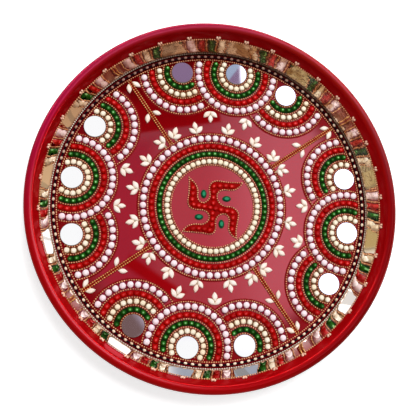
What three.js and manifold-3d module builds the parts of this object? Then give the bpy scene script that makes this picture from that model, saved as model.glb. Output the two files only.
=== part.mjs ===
// Puja thali: a pressed steel plate with a rolled rim, enamelled red, and the strings of pearls,
// stones, mirrors and fine ball chain that are glued to its floor and wall.
// Millimetres, +Z up. The plate stands on Z = 0 and its centre is the Z axis. Places on it are
// given as a distance from that axis and an angle in degrees, from +X towards +Y.
import * as THREE from 'three';
import { mergeVertices } from 'three/addons/utils/BufferGeometryUtils.js';
import Module from 'manifold-3d';

const wasm = await Module();
wasm.setup();

// Plate: overall width and height, flat floor, sheet thickness, rolled edge and floor bend
const PLATE_D = 300;
const PLATE_H = 27.2;
const FLOOR_D = 262.6;
const SHEET = 1;
const ROLL_R = 3.9;
const ROLL_SLIT = 1;
const BEND_R = 0.8;

// Clearance between neighbouring glued pieces
const GAP = 0.3;

// Strings: width and height of each kind above the floor
const CHAIN_W = 1.1;
const CHAIN_H = 1;
const KUNDAN_W = 4.6;
const KUNDAN_H = 1.8;
const GREEN_W = 4.7;
const GREEN_H = 2;
const RED_W = 4.8;
const RED_H = 2;
const PEARL_W = 5.6;
const BED_H = 0.5;
const STRING_EDGE = 0.7;

// Half pearls, their spacing along a string, and how far past the mirror's middle an arch has them
const PEARL_D = 5.1;
const PEARL_CROWN_D = 3;
const PEARL_H = 2.6;
const PEARL_PITCH = 6.24;
const MIDDLE_PEARL_PITCH = 5.83;
const PEARLS_PAST = 1.2;

// Floor edge: the black cord in the bend, its beads and the chain beside it
const CORD_W = 2.9;
const CORD_H = 1;
const BEAD_D = 1.7;

// Wall: the chain at its foot, and the upper chain with its picots, by height above the floor
const FOOT_CHAIN_RISE = 2.5;
const WALL_CHAIN_RISE = 16.4;
const PICOT_COUNT = 36;
const PICOT_W = 2.8;
const PICOT_RISE = 2.6;
const PICOT_FIRST = 2.6;
const PICOT_WANDER = 2.1;

// Medallion: clear floor inside it
const MEDALLION_BORE = 68.3;

// Arches: mirror and place of the four groups. The strings leave a mouth open where the mirror
// meets the floor edge, and in a side arch they end where only one chain still fits between its
// mirror and the middle arch
const MIRROR_D = 18;
const MIRROR_H = 1.6;
const GROUP_ANGLE = 79.2;
const MOUTH_W = 13;
const THROAT_BACK = 4;

// Marquise stones: flower petals, spoke leaves and the four green ones round the swastika
const STONE_H = 1.7;
const PETAL_W = 3.1;
const MID_PETAL_L = 6.9;
const SIDE_PETAL_L = 7.6;
const MID_PETAL_OUT = 4.6;
const SIDE_PETAL_X = 2.9;
const SIDE_PETAL_Y = 0.7;
const SIDE_PETAL_TURN = 46;
const PAD_W = 2.2;
const PAD_REACH = 1.6;
const LEAF_L = 8.2;
const LEAF_W = 3.1;
const GREEN_STONE_L = 7;
const GREEN_STONE_W = 4.4;

// Flowers round the medallion, in one quadrant, counted from its spoke
const FLOWER_SPACE = 3.1;
const FLOWER_TURNS = [22.4, 44.6, 68.3];
const FLANK_SPACE = 4.7;
const FLANK_OFFSET = 5.4;
const FLANK_TURN = 50;
const NOTCH_FLOWER_SPACE = 6.6;

// Spokes: twin chain, and two pairs of leaves that point at the medallion
const SPOKE_ANGLE = 33.4;
const TWIN_SPACING = 2.1;
const LEAF_ROOT_X = 1.8;
const MID_LEAF_OUT = 32.2;
const END_LEAF_IN = 1.7;
const MID_LEAF_TURN = 42;
const END_LEAF_TURN = 26;

// Swastika: outer edge of its top arm, from the notch before it to the notch after it
const SWASTIKA_CENTRE = [0.5, -1.1];
const SWASTIKA_ARM = [
  [-8, 4.5], [-5, 5.2], [-3, 7.6], [-2.3, 11.5], [-2.1, 15.8], [-1.3, 19.2], [1.2, 21.2],
  [6, 21.6], [12, 21.1], [19, 20.3], [25, 19.6], [22.4, 16.7], [18.8, 14.6], [13.5, 14],
  [9.2, 13.7], [6.2, 12.8], [4.8, 10.8],
];
const GREEN_STONE_AT = [-7.6, 12];

// Facets of each round shape
const PLATE_STEPS = 60;
const RING_STEPS = 36;
const ARCH_STEPS = 18;
const STONE_SIDES = 4;
const PEARL_SIDES = 5;
const ROLL_OUT_STEPS = 3;
const ROLL_IN_STEPS = 5;

const FINISH = {
  enamel: { color: 0xb00c18, roughness: 0.25, metalness: 0.2 },
  gold: { color: 0xc98a3c, roughness: 0.35, metalness: 0.9 },
  cord: { color: 0x14101c, roughness: 0.6, metalness: 0 },
  bead: { color: 0xd9c08a, roughness: 0.35, metalness: 0.7 },
  kundan: { color: 0xf3ead0, roughness: 0.3, metalness: 0 },
  green: { color: 0x0e5a24, roughness: 0.15, metalness: 0 },
  red: { color: 0xb5121b, roughness: 0.15, metalness: 0 },
  pearl: { color: 0xe9d3e2, roughness: 0.3, metalness: 0 },
  mirror: { color: 0xe8e8ea, roughness: 0.05, metalness: 1 },
};

const KINDS = {
  chain: { width: CHAIN_W, height: CHAIN_H, finish: 'gold' },
  kundan: { width: KUNDAN_W, height: KUNDAN_H, finish: 'kundan' },
  green: { width: GREEN_W, height: GREEN_H, finish: 'green' },
  red: { width: RED_W, height: RED_H, finish: 'red' },
  pearl: { width: PEARL_W, height: BED_H, finish: 'pearl' },
};

const thali = new THREE.Group();

function radians(degrees) {
  return THREE.MathUtils.degToRad(degrees);
}

function polar(r, degrees) {
  return new THREE.Vector2(r, 0).rotateAround(new THREE.Vector2(), radians(degrees));
}

function addNode(name, geometry, finish, parent = thali) {
  geometry.computeVertexNormals();
  const mesh = new THREE.Mesh(geometry, new THREE.MeshStandardMaterial(FINISH[finish]));
  mesh.name = name;
  parent.add(mesh);
  return mesh;
}

// Solids: a closed geometry becomes a manifold for joining and cutting, and comes back
function toSolid(geometry) {
  const bare = geometry.clone();
  bare.deleteAttribute('normal');
  bare.deleteAttribute('uv');
  const welded = mergeVertices(bare, 1e-4);
  const faces = [];
  for (let i = 0; i < welded.index.count; i += 3) {
    const [a, b, c] = welded.index.array.slice(i, i + 3);
    if (a !== b && b !== c && c !== a) faces.push(a, b, c);
  }
  const mesh = new wasm.Mesh({
    numProp: 3,
    vertProperties: new Float32Array(welded.attributes.position.array),
    triVerts: new Uint32Array(faces),
  });
  return new wasm.Manifold(mesh);
}

function toGeometry(solid) {
  const mesh = solid.getMesh();
  const geometry = new THREE.BufferGeometry();
  geometry.setAttribute('position', new THREE.BufferAttribute(mesh.vertProperties, 3));
  geometry.setIndex(new THREE.BufferAttribute(mesh.triVerts, 1));
  return geometry;
}

function join(solids) {
  return solids.reduce((whole, piece) => whole.add(piece));
}

// Turned shape: outline points of distance and height, anticlockwise
function turned(outline, steps) {
  const points = outline.map(([r, z]) => new THREE.Vector2(r, z));
  if (outline[0][0] > 0) points.push(points[0].clone());
  return new THREE.LatheGeometry(points, steps).rotateX(Math.PI / 2);
}

function slab(corners, bottom, height) {
  const shape = new THREE.Shape(corners.map(([x, y]) => new THREE.Vector2(x, y)));
  const geometry = new THREE.ExtrudeGeometry(shape, { depth: height, bevelEnabled: false });
  return geometry.translate(0, 0, bottom);
}

function bar(x0, x1, y0, y1, bottom, height) {
  return slab([[x0, y0], [x1, y0], [x1, y1], [x0, y1]], bottom, height);
}

function disc(r, height, steps) {
  return turned([[0, 0], [r, 0], [r, height], [0, height]], steps);
}

// Marquise stone: pointed along Y, standing on the floor
function marquise(length, width) {
  const cone = turned([[0, SHEET], [1, SHEET], [0, SHEET + STONE_H]], STONE_SIDES);
  return cone.scale(width / 2, length / 2, 1);
}

function placed(geometry, at, degrees) {
  return geometry.clone().rotateZ(radians(degrees)).translate(at.x, at.y, 0);
}

// Plate
const floorR = FLOOR_D / 2;
const rollX = PLATE_D / 2 - ROLL_R;
const rollZ = PLATE_H - ROLL_R;
const rollAway = Math.hypot(rollX - floorR, rollZ - SHEET);
const wallLean = Math.atan2(rollX - floorR, rollZ - SHEET) - Math.asin(ROLL_R / rollAway);
const bendShare = Math.tan((Math.PI / 2 - wallLean) / 2);

function wallR(z) {
  return floorR + (z - SHEET) * Math.tan(wallLean);
}

function bend(cornerR, cornerZ, r) {
  const run = r * bendShare;
  const up = [cornerR + run * Math.sin(wallLean), cornerZ + run * Math.cos(wallLean)];
  return [[cornerR - run, cornerZ], up];
}

// Points round the rolled edge, with one at each stop and even steps between the stops
function rollArc(r, stops, steps) {
  const points = [];
  for (let leg = 1; leg < stops.length; leg += 1) {
    for (let i = leg > 1 ? 1 : 0; i <= steps; i += 1) {
      const angle = THREE.MathUtils.lerp(stops[leg - 1], stops[leg], i / steps);
      points.push([rollX + r * Math.cos(angle), rollZ + r * Math.sin(angle)]);
    }
  }
  return points;
}

function plate() {
  const start = Math.PI - wallLean;
  const inner = ROLL_R - SHEET;
  const closing = Math.acos(inner / ROLL_R) + ROLL_SLIT / ROLL_R;
  const end = start - 2 * Math.PI + closing;
  return turned([
    [0, 0],
    ...bend(floorR + SHEET * bendShare, 0, BEND_R + SHEET),
    ...rollArc(inner, [start, end], ROLL_IN_STEPS),
    ...rollArc(ROLL_R, [end, 0, Math.PI / 2, start], ROLL_OUT_STEPS),
    ...bend(floorR, SHEET, BEND_R).reverse(),
    [0, SHEET],
  ], PLATE_STEPS);
}

// Strings that run in rings on the floor: chains are a plain ridge, the rest are flat on top
function ring(r, width, height, steps, edge = STRING_EDGE) {
  return turned([
    [r - width / 2, SHEET],
    [r + width / 2, SHEET],
    [r + width / 2 - edge, SHEET + height],
    [r - width / 2 + edge, SHEET + height],
  ], steps);
}

function chainRing(r, width, height, steps) {
  return turned([[r - width / 2, SHEET], [r + width / 2, SHEET], [r, SHEET + height]], steps);
}

function stringRadii(startR, kinds) {
  let edge = startR;
  return kinds.map((kind) => {
    const r = edge + KINDS[kind].width / 2;
    edge = r + KINDS[kind].width / 2 + GAP;
    return { kind, r };
  });
}

function pearlAt(centre, r, degrees) {
  const at = polar(r, degrees).add(centre);
  const low = SHEET + BED_H;
  const high = SHEET + PEARL_H;
  const dome = turned([[0, low], [PEARL_D / 2, low], [PEARL_CROWN_D / 2, high], [0, high]], PEARL_SIDES);
  return toSolid(placed(dome, at, degrees));
}

const cordOutR = floorR - BEND_R * bendShare - GAP;
const cordR = cordOutR - CORD_W / 2;
const edgeChainR = cordOutR - CORD_W - GAP - CHAIN_W / 2;
const usableR = edgeChainR - CHAIN_W / 2 - GAP;

function floorEdge() {
  addNode('black_corner_cord', ring(cordR, CORD_W, CORD_H, PLATE_STEPS), 'cord');
  const beads = chainRing(cordR, BEAD_D, BEAD_D, PLATE_STEPS).translate(0, 0, CORD_H);
  addNode('corner_bead_string', beads, 'bead');
  addNode('floor_edge_chain', chainRing(edgeChainR, CHAIN_W, CHAIN_H, PLATE_STEPS), 'gold');
}

// Wall chains: they lie on the leaning wall, and the upper one's picots point up towards the rim.
// A place on the wall is a height above the floor, and from there a way up it and a way off it
function onWall(rise, along, off) {
  const z = SHEET + rise;
  return [
    wallR(z) + along * Math.sin(wallLean) - off * Math.cos(wallLean),
    z + along * Math.cos(wallLean) + off * Math.sin(wallLean),
  ];
}

function picot(degrees) {
  const outline = [
    onWall(WALL_CHAIN_RISE, 0, GAP),
    onWall(WALL_CHAIN_RISE, CHAIN_W / 2 + PICOT_RISE, GAP),
    onWall(WALL_CHAIN_RISE, 0, GAP + CHAIN_W),
  ];
  const shape = new THREE.Shape(outline.map(([r, z]) => new THREE.Vector2(r, z)));
  const block = new THREE.ExtrudeGeometry(shape, { depth: PICOT_W, bevelEnabled: false });
  block.translate(0, 0, -PICOT_W / 2).rotateX(Math.PI / 2);
  return toSolid(block.rotateZ(radians(degrees)));
}

function wallRing(rise) {
  const low = onWall(rise, -CHAIN_W / 2, GAP);
  const high = onWall(rise, CHAIN_W / 2, GAP);
  return turned([low, high, onWall(rise, 0, GAP + CHAIN_W)], PLATE_STEPS);
}

function wallChains() {
  addNode('wall_foot_chain', wallRing(FOOT_CHAIN_RISE), 'gold');
  const run = toSolid(wallRing(WALL_CHAIN_RISE));
  const picots = [];
  for (let i = 0; i < PICOT_COUNT; i += 1) {
    const even = i * 360 / PICOT_COUNT;
    picots.push(picot(PICOT_FIRST + even - PICOT_WANDER * (1 - Math.cos(radians(2 * even)))));
  }
  addNode('wall_chain_with_picots', toGeometry(join([run, ...picots])), 'gold');
}

// Flowers: three petals growing along Y from the place between them, joined by a glue pad that
// runs back towards what the flower grows from
function flowerPieces(at, degrees) {
  const side = marquise(SIDE_PETAL_L, PETAL_W);
  const pieces = [
    marquise(MID_PETAL_L, PETAL_W).translate(0, MID_PETAL_OUT, 0),
    placed(side, new THREE.Vector2(SIDE_PETAL_X, SIDE_PETAL_Y), -SIDE_PETAL_TURN),
    placed(side, new THREE.Vector2(-SIDE_PETAL_X, SIDE_PETAL_Y), SIDE_PETAL_TURN),
  ];
  return pieces.map((piece) => toSolid(placed(piece, at, degrees - 90)));
}

function gluePad(fromR, toR, degrees, offset) {
  const strip = bar(fromR, toR, offset - PAD_W / 2, offset + PAD_W / 2, SHEET, BED_H);
  return toSolid(strip.rotateZ(radians(degrees)));
}

// Medallion
const medallionStrings = stringRadii(
  MEDALLION_BORE / 2,
  ['chain', 'kundan', 'chain', 'green', 'chain', 'red', 'chain', 'pearl', 'chain'],
);
const medallionEdge = medallionStrings.at(-1).r + CHAIN_W / 2;

function medallionFlowers(spokeAngle) {
  const hubR = medallionEdge + FLOWER_SPACE;
  const solids = [];
  for (const turn of FLOWER_TURNS) {
    const angle = spokeAngle + turn;
    solids.push(...flowerPieces(polar(hubR, angle), angle));
    solids.push(gluePad(medallionEdge - CHAIN_W / 2, hubR + PAD_REACH, angle, 0));
  }
  for (const side of [-1, 1]) {
    const flankR = medallionEdge + FLANK_SPACE;
    const along = new THREE.Vector2(flankR, side * FLANK_OFFSET);
    const hub = along.rotateAround(new THREE.Vector2(), radians(spokeAngle));
    solids.push(...flowerPieces(hub, spokeAngle + side * FLANK_TURN));
    solids.push(gluePad(medallionEdge - CHAIN_W, flankR + PAD_REACH, spokeAngle, side * FLANK_OFFSET));
  }
  return solids;
}

function medallion() {
  const count = {};
  medallionStrings.forEach(({ kind, r }, index) => {
    count[kind] = (count[kind] ?? 0) + 1;
    const { width, height, finish } = KINDS[kind];
    const string = (kind === 'chain' ? chainRing : ring)(r, width, height, RING_STEPS);
    if (index === medallionStrings.length - 1) {
      const flowers = [0, 90, 180, 270].flatMap((turn) => medallionFlowers(SPOKE_ANGLE + turn));
      addNode('medallion_edge_chain_with_flowers', toGeometry(join([toSolid(string), ...flowers])), finish);
    } else if (kind === 'pearl') {
      const pearls = [];
      const pearlCount = Math.round(2 * Math.PI * r / PEARL_PITCH);
      for (let i = 0; i < pearlCount; i += 1) {
        pearls.push(pearlAt(new THREE.Vector2(), r, i * 360 / pearlCount));
      }
      const bed = toSolid(ring(r, width, height, pearlCount, 0));
      addNode('medallion_pearl_ring', toGeometry(join([bed, ...pearls])), finish);
    } else {
      const name = kind === 'chain' ? `medallion_chain_${count[kind]}` : `medallion_${kind}_ring`;
      addNode(name, string, finish);
    }
  });
}

// Swastika: a run of chain round a bed of red stones, and a green stone in each notch
function inset(corners, distance) {
  const count = corners.length;
  return corners.map(([x, y], i) => {
    const [px, py] = corners[(i + count - 1) % count];
    const [nx, ny] = corners[(i + 1) % count];
    const before = new THREE.Vector2(x - px, y - py).normalize();
    const after = new THREE.Vector2(nx - x, ny - y).normalize();
    const inward = new THREE.Vector2(before.y + after.y, -before.x - after.x).normalize();
    const reach = distance / (inward.x * after.y - inward.y * after.x);
    return [x + inward.x * reach, y + inward.y * reach];
  });
}

function swastika() {
  const centre = new THREE.Group();
  centre.position.set(...SWASTIKA_CENTRE, 0);
  thali.add(centre);
  const outer = [];
  for (let quarter = 0; quarter < 4; quarter += 1) {
    for (const [x, y] of SWASTIKA_ARM) {
      const at = new THREE.Vector2(x, y).rotateAround(new THREE.Vector2(), radians(-90 * quarter));
      outer.push([at.x, at.y]);
    }
  }
  const bore = slab(inset(outer, CHAIN_W), 0, PLATE_H);
  const chain = toSolid(slab(outer, SHEET, CHAIN_H)).subtract(toSolid(bore));
  addNode('swastika_chain', toGeometry(chain), 'gold', centre);
  addNode('swastika_red_stones', slab(inset(outer, CHAIN_W + GAP), SHEET, RED_H), 'red', centre);
  for (let quarter = 0; quarter < 4; quarter += 1) {
    const stone = marquise(GREEN_STONE_L, GREEN_STONE_W).translate(...GREEN_STONE_AT, 0);
    const mesh = addNode(`swastika_green_stone_${quarter + 1}`, stone, 'green', centre);
    mesh.rotation.z = radians(-90 * quarter);
  }
}

// Spokes: two chains side by side on one glue bed, with a pair of leaves midway and at the end
function leafPair(rootR, turn) {
  return [-1, 1].map((side) => {
    const reach = new THREE.Vector2(LEAF_L / 2, 0);
    reach.rotateAround(new THREE.Vector2(), Math.PI - side * radians(turn));
    const at = new THREE.Vector2(rootR, side * LEAF_ROOT_X).add(reach);
    return placed(marquise(LEAF_L, LEAF_W), at, 90 - side * turn);
  });
}

function spokes() {
  const start = medallionEdge + GAP;
  const half = (TWIN_SPACING + CHAIN_W) / 2;
  const pieces = [
    bar(start, usableR, -half - GAP, half + GAP, SHEET, BED_H),
    bar(start, usableR, -half, CHAIN_W - half, SHEET, CHAIN_H),
    bar(start, usableR, half - CHAIN_W, half, SHEET, CHAIN_H),
    ...leafPair(medallionEdge + MID_LEAF_OUT, MID_LEAF_TURN),
    ...leafPair(usableR - END_LEAF_IN, END_LEAF_TURN),
  ];
  const geometry = toGeometry(join(pieces.map((piece) => toSolid(piece))));
  for (let quarter = 0; quarter < 4; quarter += 1) {
    const mesh = addNode(`spoke_${quarter + 1}`, geometry, 'gold');
    mesh.rotation.z = radians(SPOKE_ANGLE + 90 * quarter);
  }
}

// Arches: strings round a mirror, ending at the floor edge; a side arch ends at the middle one.
// A group's three arches are made round +X, and the group is turned to its place
const mirrorSeat = MIRROR_D / 2 + GAP;
const MIDDLE_ORDER = ['chain', 'kundan', 'chain', 'green', 'chain', 'red', 'chain', 'pearl', 'chain'];
const SWAPPED_ORDER = ['chain', 'green', 'chain', 'kundan', 'chain', 'red', 'chain', 'pearl', 'chain'];
const archEdge = stringRadii(mirrorSeat, MIDDLE_ORDER).at(-1).r + CHAIN_W / 2;
const archR = usableR - MIRROR_D / 2;
const sideSpacing = archEdge + GAP + mirrorSeat;
const sideTurn = THREE.MathUtils.radToDeg(2 * Math.asin(sideSpacing / 2 / archR));

function archOutline(strings) {
  const top = [];
  strings.forEach(({ kind, r }, index) => {
    const { width, height } = KINDS[kind];
    const half = width / 2;
    if (kind === 'pearl' || index === 0 || index === strings.length - 1) {
      top.push([r - half, SHEET + height], [r + half, SHEET + height]);
    } else {
      top.push([r, SHEET + height]);
    }
  });
  return [[mirrorSeat, SHEET], [strings.at(-1).r + CHAIN_W / 2, SHEET], ...top.reverse()];
}

// Strings of one arch, open at the mouth and ending inside the floor edge
function archFan(strings, angle) {
  const centre = polar(archR, angle);
  const fan = turned(archOutline(strings), ARCH_STEPS);
  const mouth = bar(0, PLATE_D, -MOUTH_W / 2, MOUTH_W / 2, 0, PLATE_H);
  const open = toSolid(placed(fan, centre, angle)).subtract(toSolid(placed(mouth, centre, angle)));
  return open.intersect(toSolid(disc(usableR, PLATE_H, PLATE_STEPS)));
}

// Places where an arch's pearls sit, as turns round the mirror from the line to the plate's centre
function pearlTurns(r, pitch) {
  const end = 90 + THREE.MathUtils.radToDeg(Math.asin(PEARLS_PAST / r));
  const count = Math.round(radians(2 * end) * r / pitch);
  return Array.from({ length: count + 1 }, (_, i) => end - 2 * end * i / count);
}

function sidePearlTurns(r, side) {
  const middle = polar(archR, 0);
  const centre = polar(archR, side * sideTurn);
  const clear = archEdge + GAP + PEARL_D / 2;
  const turns = pearlTurns(r, PEARL_PITCH).map((turn) => -side * turn);
  return turns.filter((turn) => {
    const at = polar(r, side * sideTurn + 180 + turn).add(centre);
    return at.distanceTo(middle) > clear;
  });
}

// Room that a side arch leaves: the middle arch, and the pocket between the two mirrors
function sideRoom(side) {
  const middleArch = disc(archEdge + GAP, PLATE_H, ARCH_STEPS).translate(archR, 0, 0);
  const low = side > 0 ? -THROAT_BACK : -PLATE_D;
  const high = side > 0 ? PLATE_D : THROAT_BACK;
  const pocket = bar(0, PLATE_D, low, high, 0, PLATE_H);
  const towards = side * (sideTurn / 2 - 90);
  const centre = polar(archR, side * sideTurn);
  return toSolid(middleArch).add(toSolid(placed(pocket, centre, towards)));
}

function arch(group, name, order, side) {
  const angle = side * sideTurn;
  const centre = polar(archR, angle);
  const strings = stringRadii(mirrorSeat, order);
  const pearlR = strings.find(({ kind }) => kind === 'pearl').r;
  const fan = archFan(strings, angle);
  const body = side === 0 ? fan : fan.subtract(sideRoom(side));
  const turns = side === 0 ? pearlTurns(pearlR, MIDDLE_PEARL_PITCH) : sidePearlTurns(pearlR, side);
  const pearls = turns.map((turn) => pearlAt(centre, pearlR, angle + 180 + turn));
  addNode(`${name}_arch`, toGeometry(join([body, ...pearls])), 'pearl', group);
  const glass = disc(MIRROR_D / 2, MIRROR_H, ARCH_STEPS).translate(0, 0, SHEET);
  addNode(`${name}_mirror`, placed(glass, centre, angle), 'mirror', group);
}

function notchFlower(group, name, side) {
  const half = radians(sideTurn / 2);
  const across = archR * Math.sin(half);
  const notchR = archR * Math.cos(half) - Math.sqrt(archEdge ** 2 - across ** 2);
  const hubR = notchR - NOTCH_FLOWER_SPACE;
  const angle = side * sideTurn / 2;
  const pad = gluePad(hubR - PAD_REACH, hubR + PAD_REACH, angle, 0);
  const petals = flowerPieces(polar(hubR, angle), angle + 180);
  addNode(name, toGeometry(join([...petals, pad])), 'kundan', group);
}

function archGroup(name, turn, sideOrder) {
  const group = new THREE.Group();
  group.rotation.z = radians(GROUP_ANGLE + turn);
  thali.add(group);
  arch(group, `${name}_middle`, MIDDLE_ORDER, 0);
  arch(group, `${name}_first`, sideOrder, -1);
  arch(group, `${name}_last`, sideOrder, 1);
  notchFlower(group, `${name}_first_notch_flower`, -1);
  notchFlower(group, `${name}_last_notch_flower`, 1);
}

addNode('plate', plate(), 'enamel');
floorEdge();
wallChains();
medallion();
swastika();
spokes();
archGroup('top', 0, SWAPPED_ORDER);
archGroup('left', 90, MIDDLE_ORDER);
archGroup('bottom', 180, SWAPPED_ORDER);
archGroup('right', 270, MIDDLE_ORDER);

export default thali;
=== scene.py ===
# %% [markdown]
# # A puja thali, dressed for the camera
# The real thing is a pressed steel plate, enamelled red, with strings of half pearls, foiled
# stones, ball chain and small mirrors glued on by hand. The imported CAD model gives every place
# and size. This lesson dresses it, one kind of piece at a time, and hands each piece to the
# frame. Lengths are in metres, so millimetres are written as a number times MM.

# %% Load the frame
import math
import random

import bpy
from mathutils import Matrix, Vector


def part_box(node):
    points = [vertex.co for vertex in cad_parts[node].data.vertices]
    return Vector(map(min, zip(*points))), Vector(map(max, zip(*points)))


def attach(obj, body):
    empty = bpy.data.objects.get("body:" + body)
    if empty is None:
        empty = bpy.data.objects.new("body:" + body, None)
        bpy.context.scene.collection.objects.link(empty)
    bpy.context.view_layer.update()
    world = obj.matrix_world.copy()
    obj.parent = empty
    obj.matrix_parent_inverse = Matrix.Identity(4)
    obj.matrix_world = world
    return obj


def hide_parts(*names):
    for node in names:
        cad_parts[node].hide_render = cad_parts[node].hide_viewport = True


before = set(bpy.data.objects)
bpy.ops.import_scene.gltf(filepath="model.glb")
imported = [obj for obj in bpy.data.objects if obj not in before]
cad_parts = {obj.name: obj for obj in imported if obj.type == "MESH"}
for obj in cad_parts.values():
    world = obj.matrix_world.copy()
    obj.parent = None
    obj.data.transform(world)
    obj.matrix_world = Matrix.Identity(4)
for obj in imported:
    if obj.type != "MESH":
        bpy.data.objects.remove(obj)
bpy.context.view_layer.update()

MM = 0.001

# %% [markdown]
# ## Camera
# A camera is a place, a turn and a lens. The photograph was taken from nearly overhead, leaning
# towards the lower left, so the far wall of the plate shows more than the near one. The turn is
# one rotation about a level axis, which keeps the picture upright.

# %% Camera
TILT = math.radians(12.534)
LEAN_TOWARDS = math.radians(226.61)
EYE = Vector((-2.0598, -3.3102, 569.061)) * MM
PLATE_RAISED = Vector((0, 0, 1)) * MM
SENSOR_W = 36
FOCAL_LENGTH = 58.789
axis = Vector((-math.sin(LEAN_TOWARDS), math.cos(LEAN_TOWARDS), 0))
turn = Matrix.Rotation(TILT, 3, axis)
camera = bpy.data.objects.new("camera", bpy.data.cameras.new("camera"))
camera.matrix_world = Matrix.Translation(turn @ EYE + PLATE_RAISED) @ turn.to_4x4()
camera.data.sensor_width = SENSOR_W
camera.data.lens = FOCAL_LENGTH
bpy.context.scene.collection.objects.link(camera)
bpy.context.scene.camera = camera
bpy.context.scene.view_settings.view_transform = "Standard"
print("camera at, mm:", [round(value / MM) for value in camera.matrix_world.translation])

# %% [markdown]
# ## Node helpers
# Materials, worlds and Geometry Nodes are graphs of nodes. They could be clicked together, but a
# script can name its steps. One helper adds a node, one links or sets an input, and the others
# write sums, mixes and noise in one line each, so that the recipes below read like recipes.


# %% Helpers that add, feed and calculate
def node(tree, kind, **settings):
    made = tree.nodes.new(kind)
    for name, value in settings.items():
        setattr(made, name, value)
    return made


def feed(tree, value, socket):
    """Links a value that is a socket, and sets one that is a number, a colour or a vector."""
    if hasattr(value, "is_linked"):
        tree.links.new(value, socket)
    else:
        socket.default_value = value


def maths(tree, operation, *values):
    made = node(tree, "ShaderNodeMath", operation=operation)
    for value, socket in zip(values, made.inputs):
        feed(tree, value, socket)
    return made.outputs[0]


def vector_maths(tree, operation, *values):
    made = node(tree, "ShaderNodeVectorMath", operation=operation)
    for value, socket in zip(values, made.inputs):
        feed(tree, value, socket)
    return made.outputs["Value" if operation in ("DOT_PRODUCT", "LENGTH") else "Vector"]


def compass(degrees):
    """Level unit vector, in degrees from +X towards +Y."""
    return math.cos(math.radians(degrees)), math.sin(math.radians(degrees)), 0


# %% Helpers that map, mix and make noise
MIX_SHARE, MIX_FIRST, MIX_SECOND, MIX_COLOUR = 0, 6, 7, 2


def spread(tree, value, low, high, start=0.0, end=1.0, kind="LINEAR"):
    """Maps start to end onto low to high, and holds the ends."""
    made = node(tree, "ShaderNodeMapRange", interpolation_type=kind)
    for name, number in (("From Min", start), ("From Max", end), ("To Min", low), ("To Max", high)):
        made.inputs[name].default_value = number
    feed(tree, value, made.inputs["Value"])
    return made.outputs["Result"]


def blend(tree, share, first, second, how="MIX"):
    """Mixes two colours, each a socket or four numbers."""
    made = node(tree, "ShaderNodeMix", data_type="RGBA", blend_type=how)
    for index, value in ((MIX_SHARE, share), (MIX_FIRST, first), (MIX_SECOND, second)):
        feed(tree, value, made.inputs[index])
    return made.outputs[MIX_COLOUR]


def shaded(tree, colour, share, by):
    """The colour multiplied by another one, to a share."""
    return blend(tree, share, colour, by, "MULTIPLY")


def noise(tree, scale, detail=2.0, stretch=None, place=None):
    """Noise on the piece's own coordinates, or on a place that is given."""
    place = place or node(tree, "ShaderNodeTexCoord").outputs["Object"]
    if stretch:
        mapping = node(tree, "ShaderNodeMapping")
        mapping.inputs["Scale"].default_value = stretch
        feed(tree, place, mapping.inputs["Vector"])
        place = mapping.outputs["Vector"]
    made = node(tree, "ShaderNodeTexNoise")
    made.inputs["Scale"].default_value = scale
    made.inputs["Detail"].default_value = detail
    feed(tree, place, made.inputs["Vector"])
    return made.outputs["Fac"]


# %% [markdown]
# ## Room
# Gloss shows what is around it, so a glossy plate needs a room. It could be modelled with walls
# and windows, but only its mirror image counts. So the world is white for the camera, even and
# dim for soft light, and only mirrored rays see a room. The enamel and the mirrors show large
# cards overhead: a soft box, a window on the right and a dark doorway behind. Each card is placed
# by the spot of the plate's floor on which the camera sees it. The wall's steel band looks
# sideways, at walls given by compass direction and rise, with dark upright streaks between them.

# %% Blank world, and its directions as spots on the plate's floor
LOWEST_RISE = 0.02
world = bpy.data.worlds.new("studio")
bpy.context.scene.world = world
world.use_nodes = True
room = world.node_tree
room.nodes.clear()
eye = camera.matrix_world.translation
look = node(room, "ShaderNodeTexCoord").outputs["Generated"]
look_parts = node(room, "ShaderNodeSeparateXYZ")
feed(room, look, look_parts.inputs[0])
rise = look_parts.outputs["Z"]
to_floor = maths(room, "MAXIMUM", rise, LOWEST_RISE)
spot = node(room, "ShaderNodeCombineXYZ")
for name, start in (("X", eye.x), ("Y", eye.y)):
    slope = maths(room, "DIVIDE", look_parts.outputs[name], to_floor)
    feed(room, maths(room, "MULTIPLY_ADD", slope, eye.z, start), spot.inputs[name])
level_look = vector_maths(room, "NORMALIZE", vector_maths(room, "MULTIPLY", look, (1, 1, 0)))
print("eye's height over the floor, mm:", round(eye.z / MM))

# %% Cards overhead
WHITE = (1, 1, 1, 1)
CARDS = [
    # centre, half size, turn, softness, colour
    ((58, 58), (200, 200), 0, 3, WHITE),  # the big soft box
    ((14, -5), (101, 100), 0, 6, (0.85, 0.74, 1.0, 1)),  # its inner, lilac field
    ((85, 20), (60, 110), 0, 38, (1.95, 1.9, 2.4, 1)),  # the window on the right
    ((-74, -6), (25, 62), 0, 9, (0.6, 0.33, 0.62, 1)),  # a plum curtain on the left
    ((-33, 96), (37, 30), 10, 1.5, (0.02, 0.01, 0.02, 1)),  # the dark doorway
    ((-48, -60), (27, 5), -34, 2.5, (0.03, 0.02, 0.03, 1)),  # a dark beam
    ((-20, 125), (46, 20), 0, 1.5, (0.24, 0.15, 0.26, 1)),  # what the violet mirror shows
    ((12, 128), (14, 26), -38, 0.5, (0.34, 0.4, 0.55, 1)),  # the blue half of its neighbour
    ((-70, -100), (17, 16), 35, 9, (0.17, 0.1, 0.1, 1)),  # what the dark mirror shows
    ((330, 290), (240, 240), 45, 30, (2.2, 1.7, 2.2, 1)),  # daylight, for the far rim alone
    ((-430, 190), (250, 330), 0, 20, (0.62, 0.42, 0.55, 1)),  # a lilac wall, for the left rim alone
]


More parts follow.
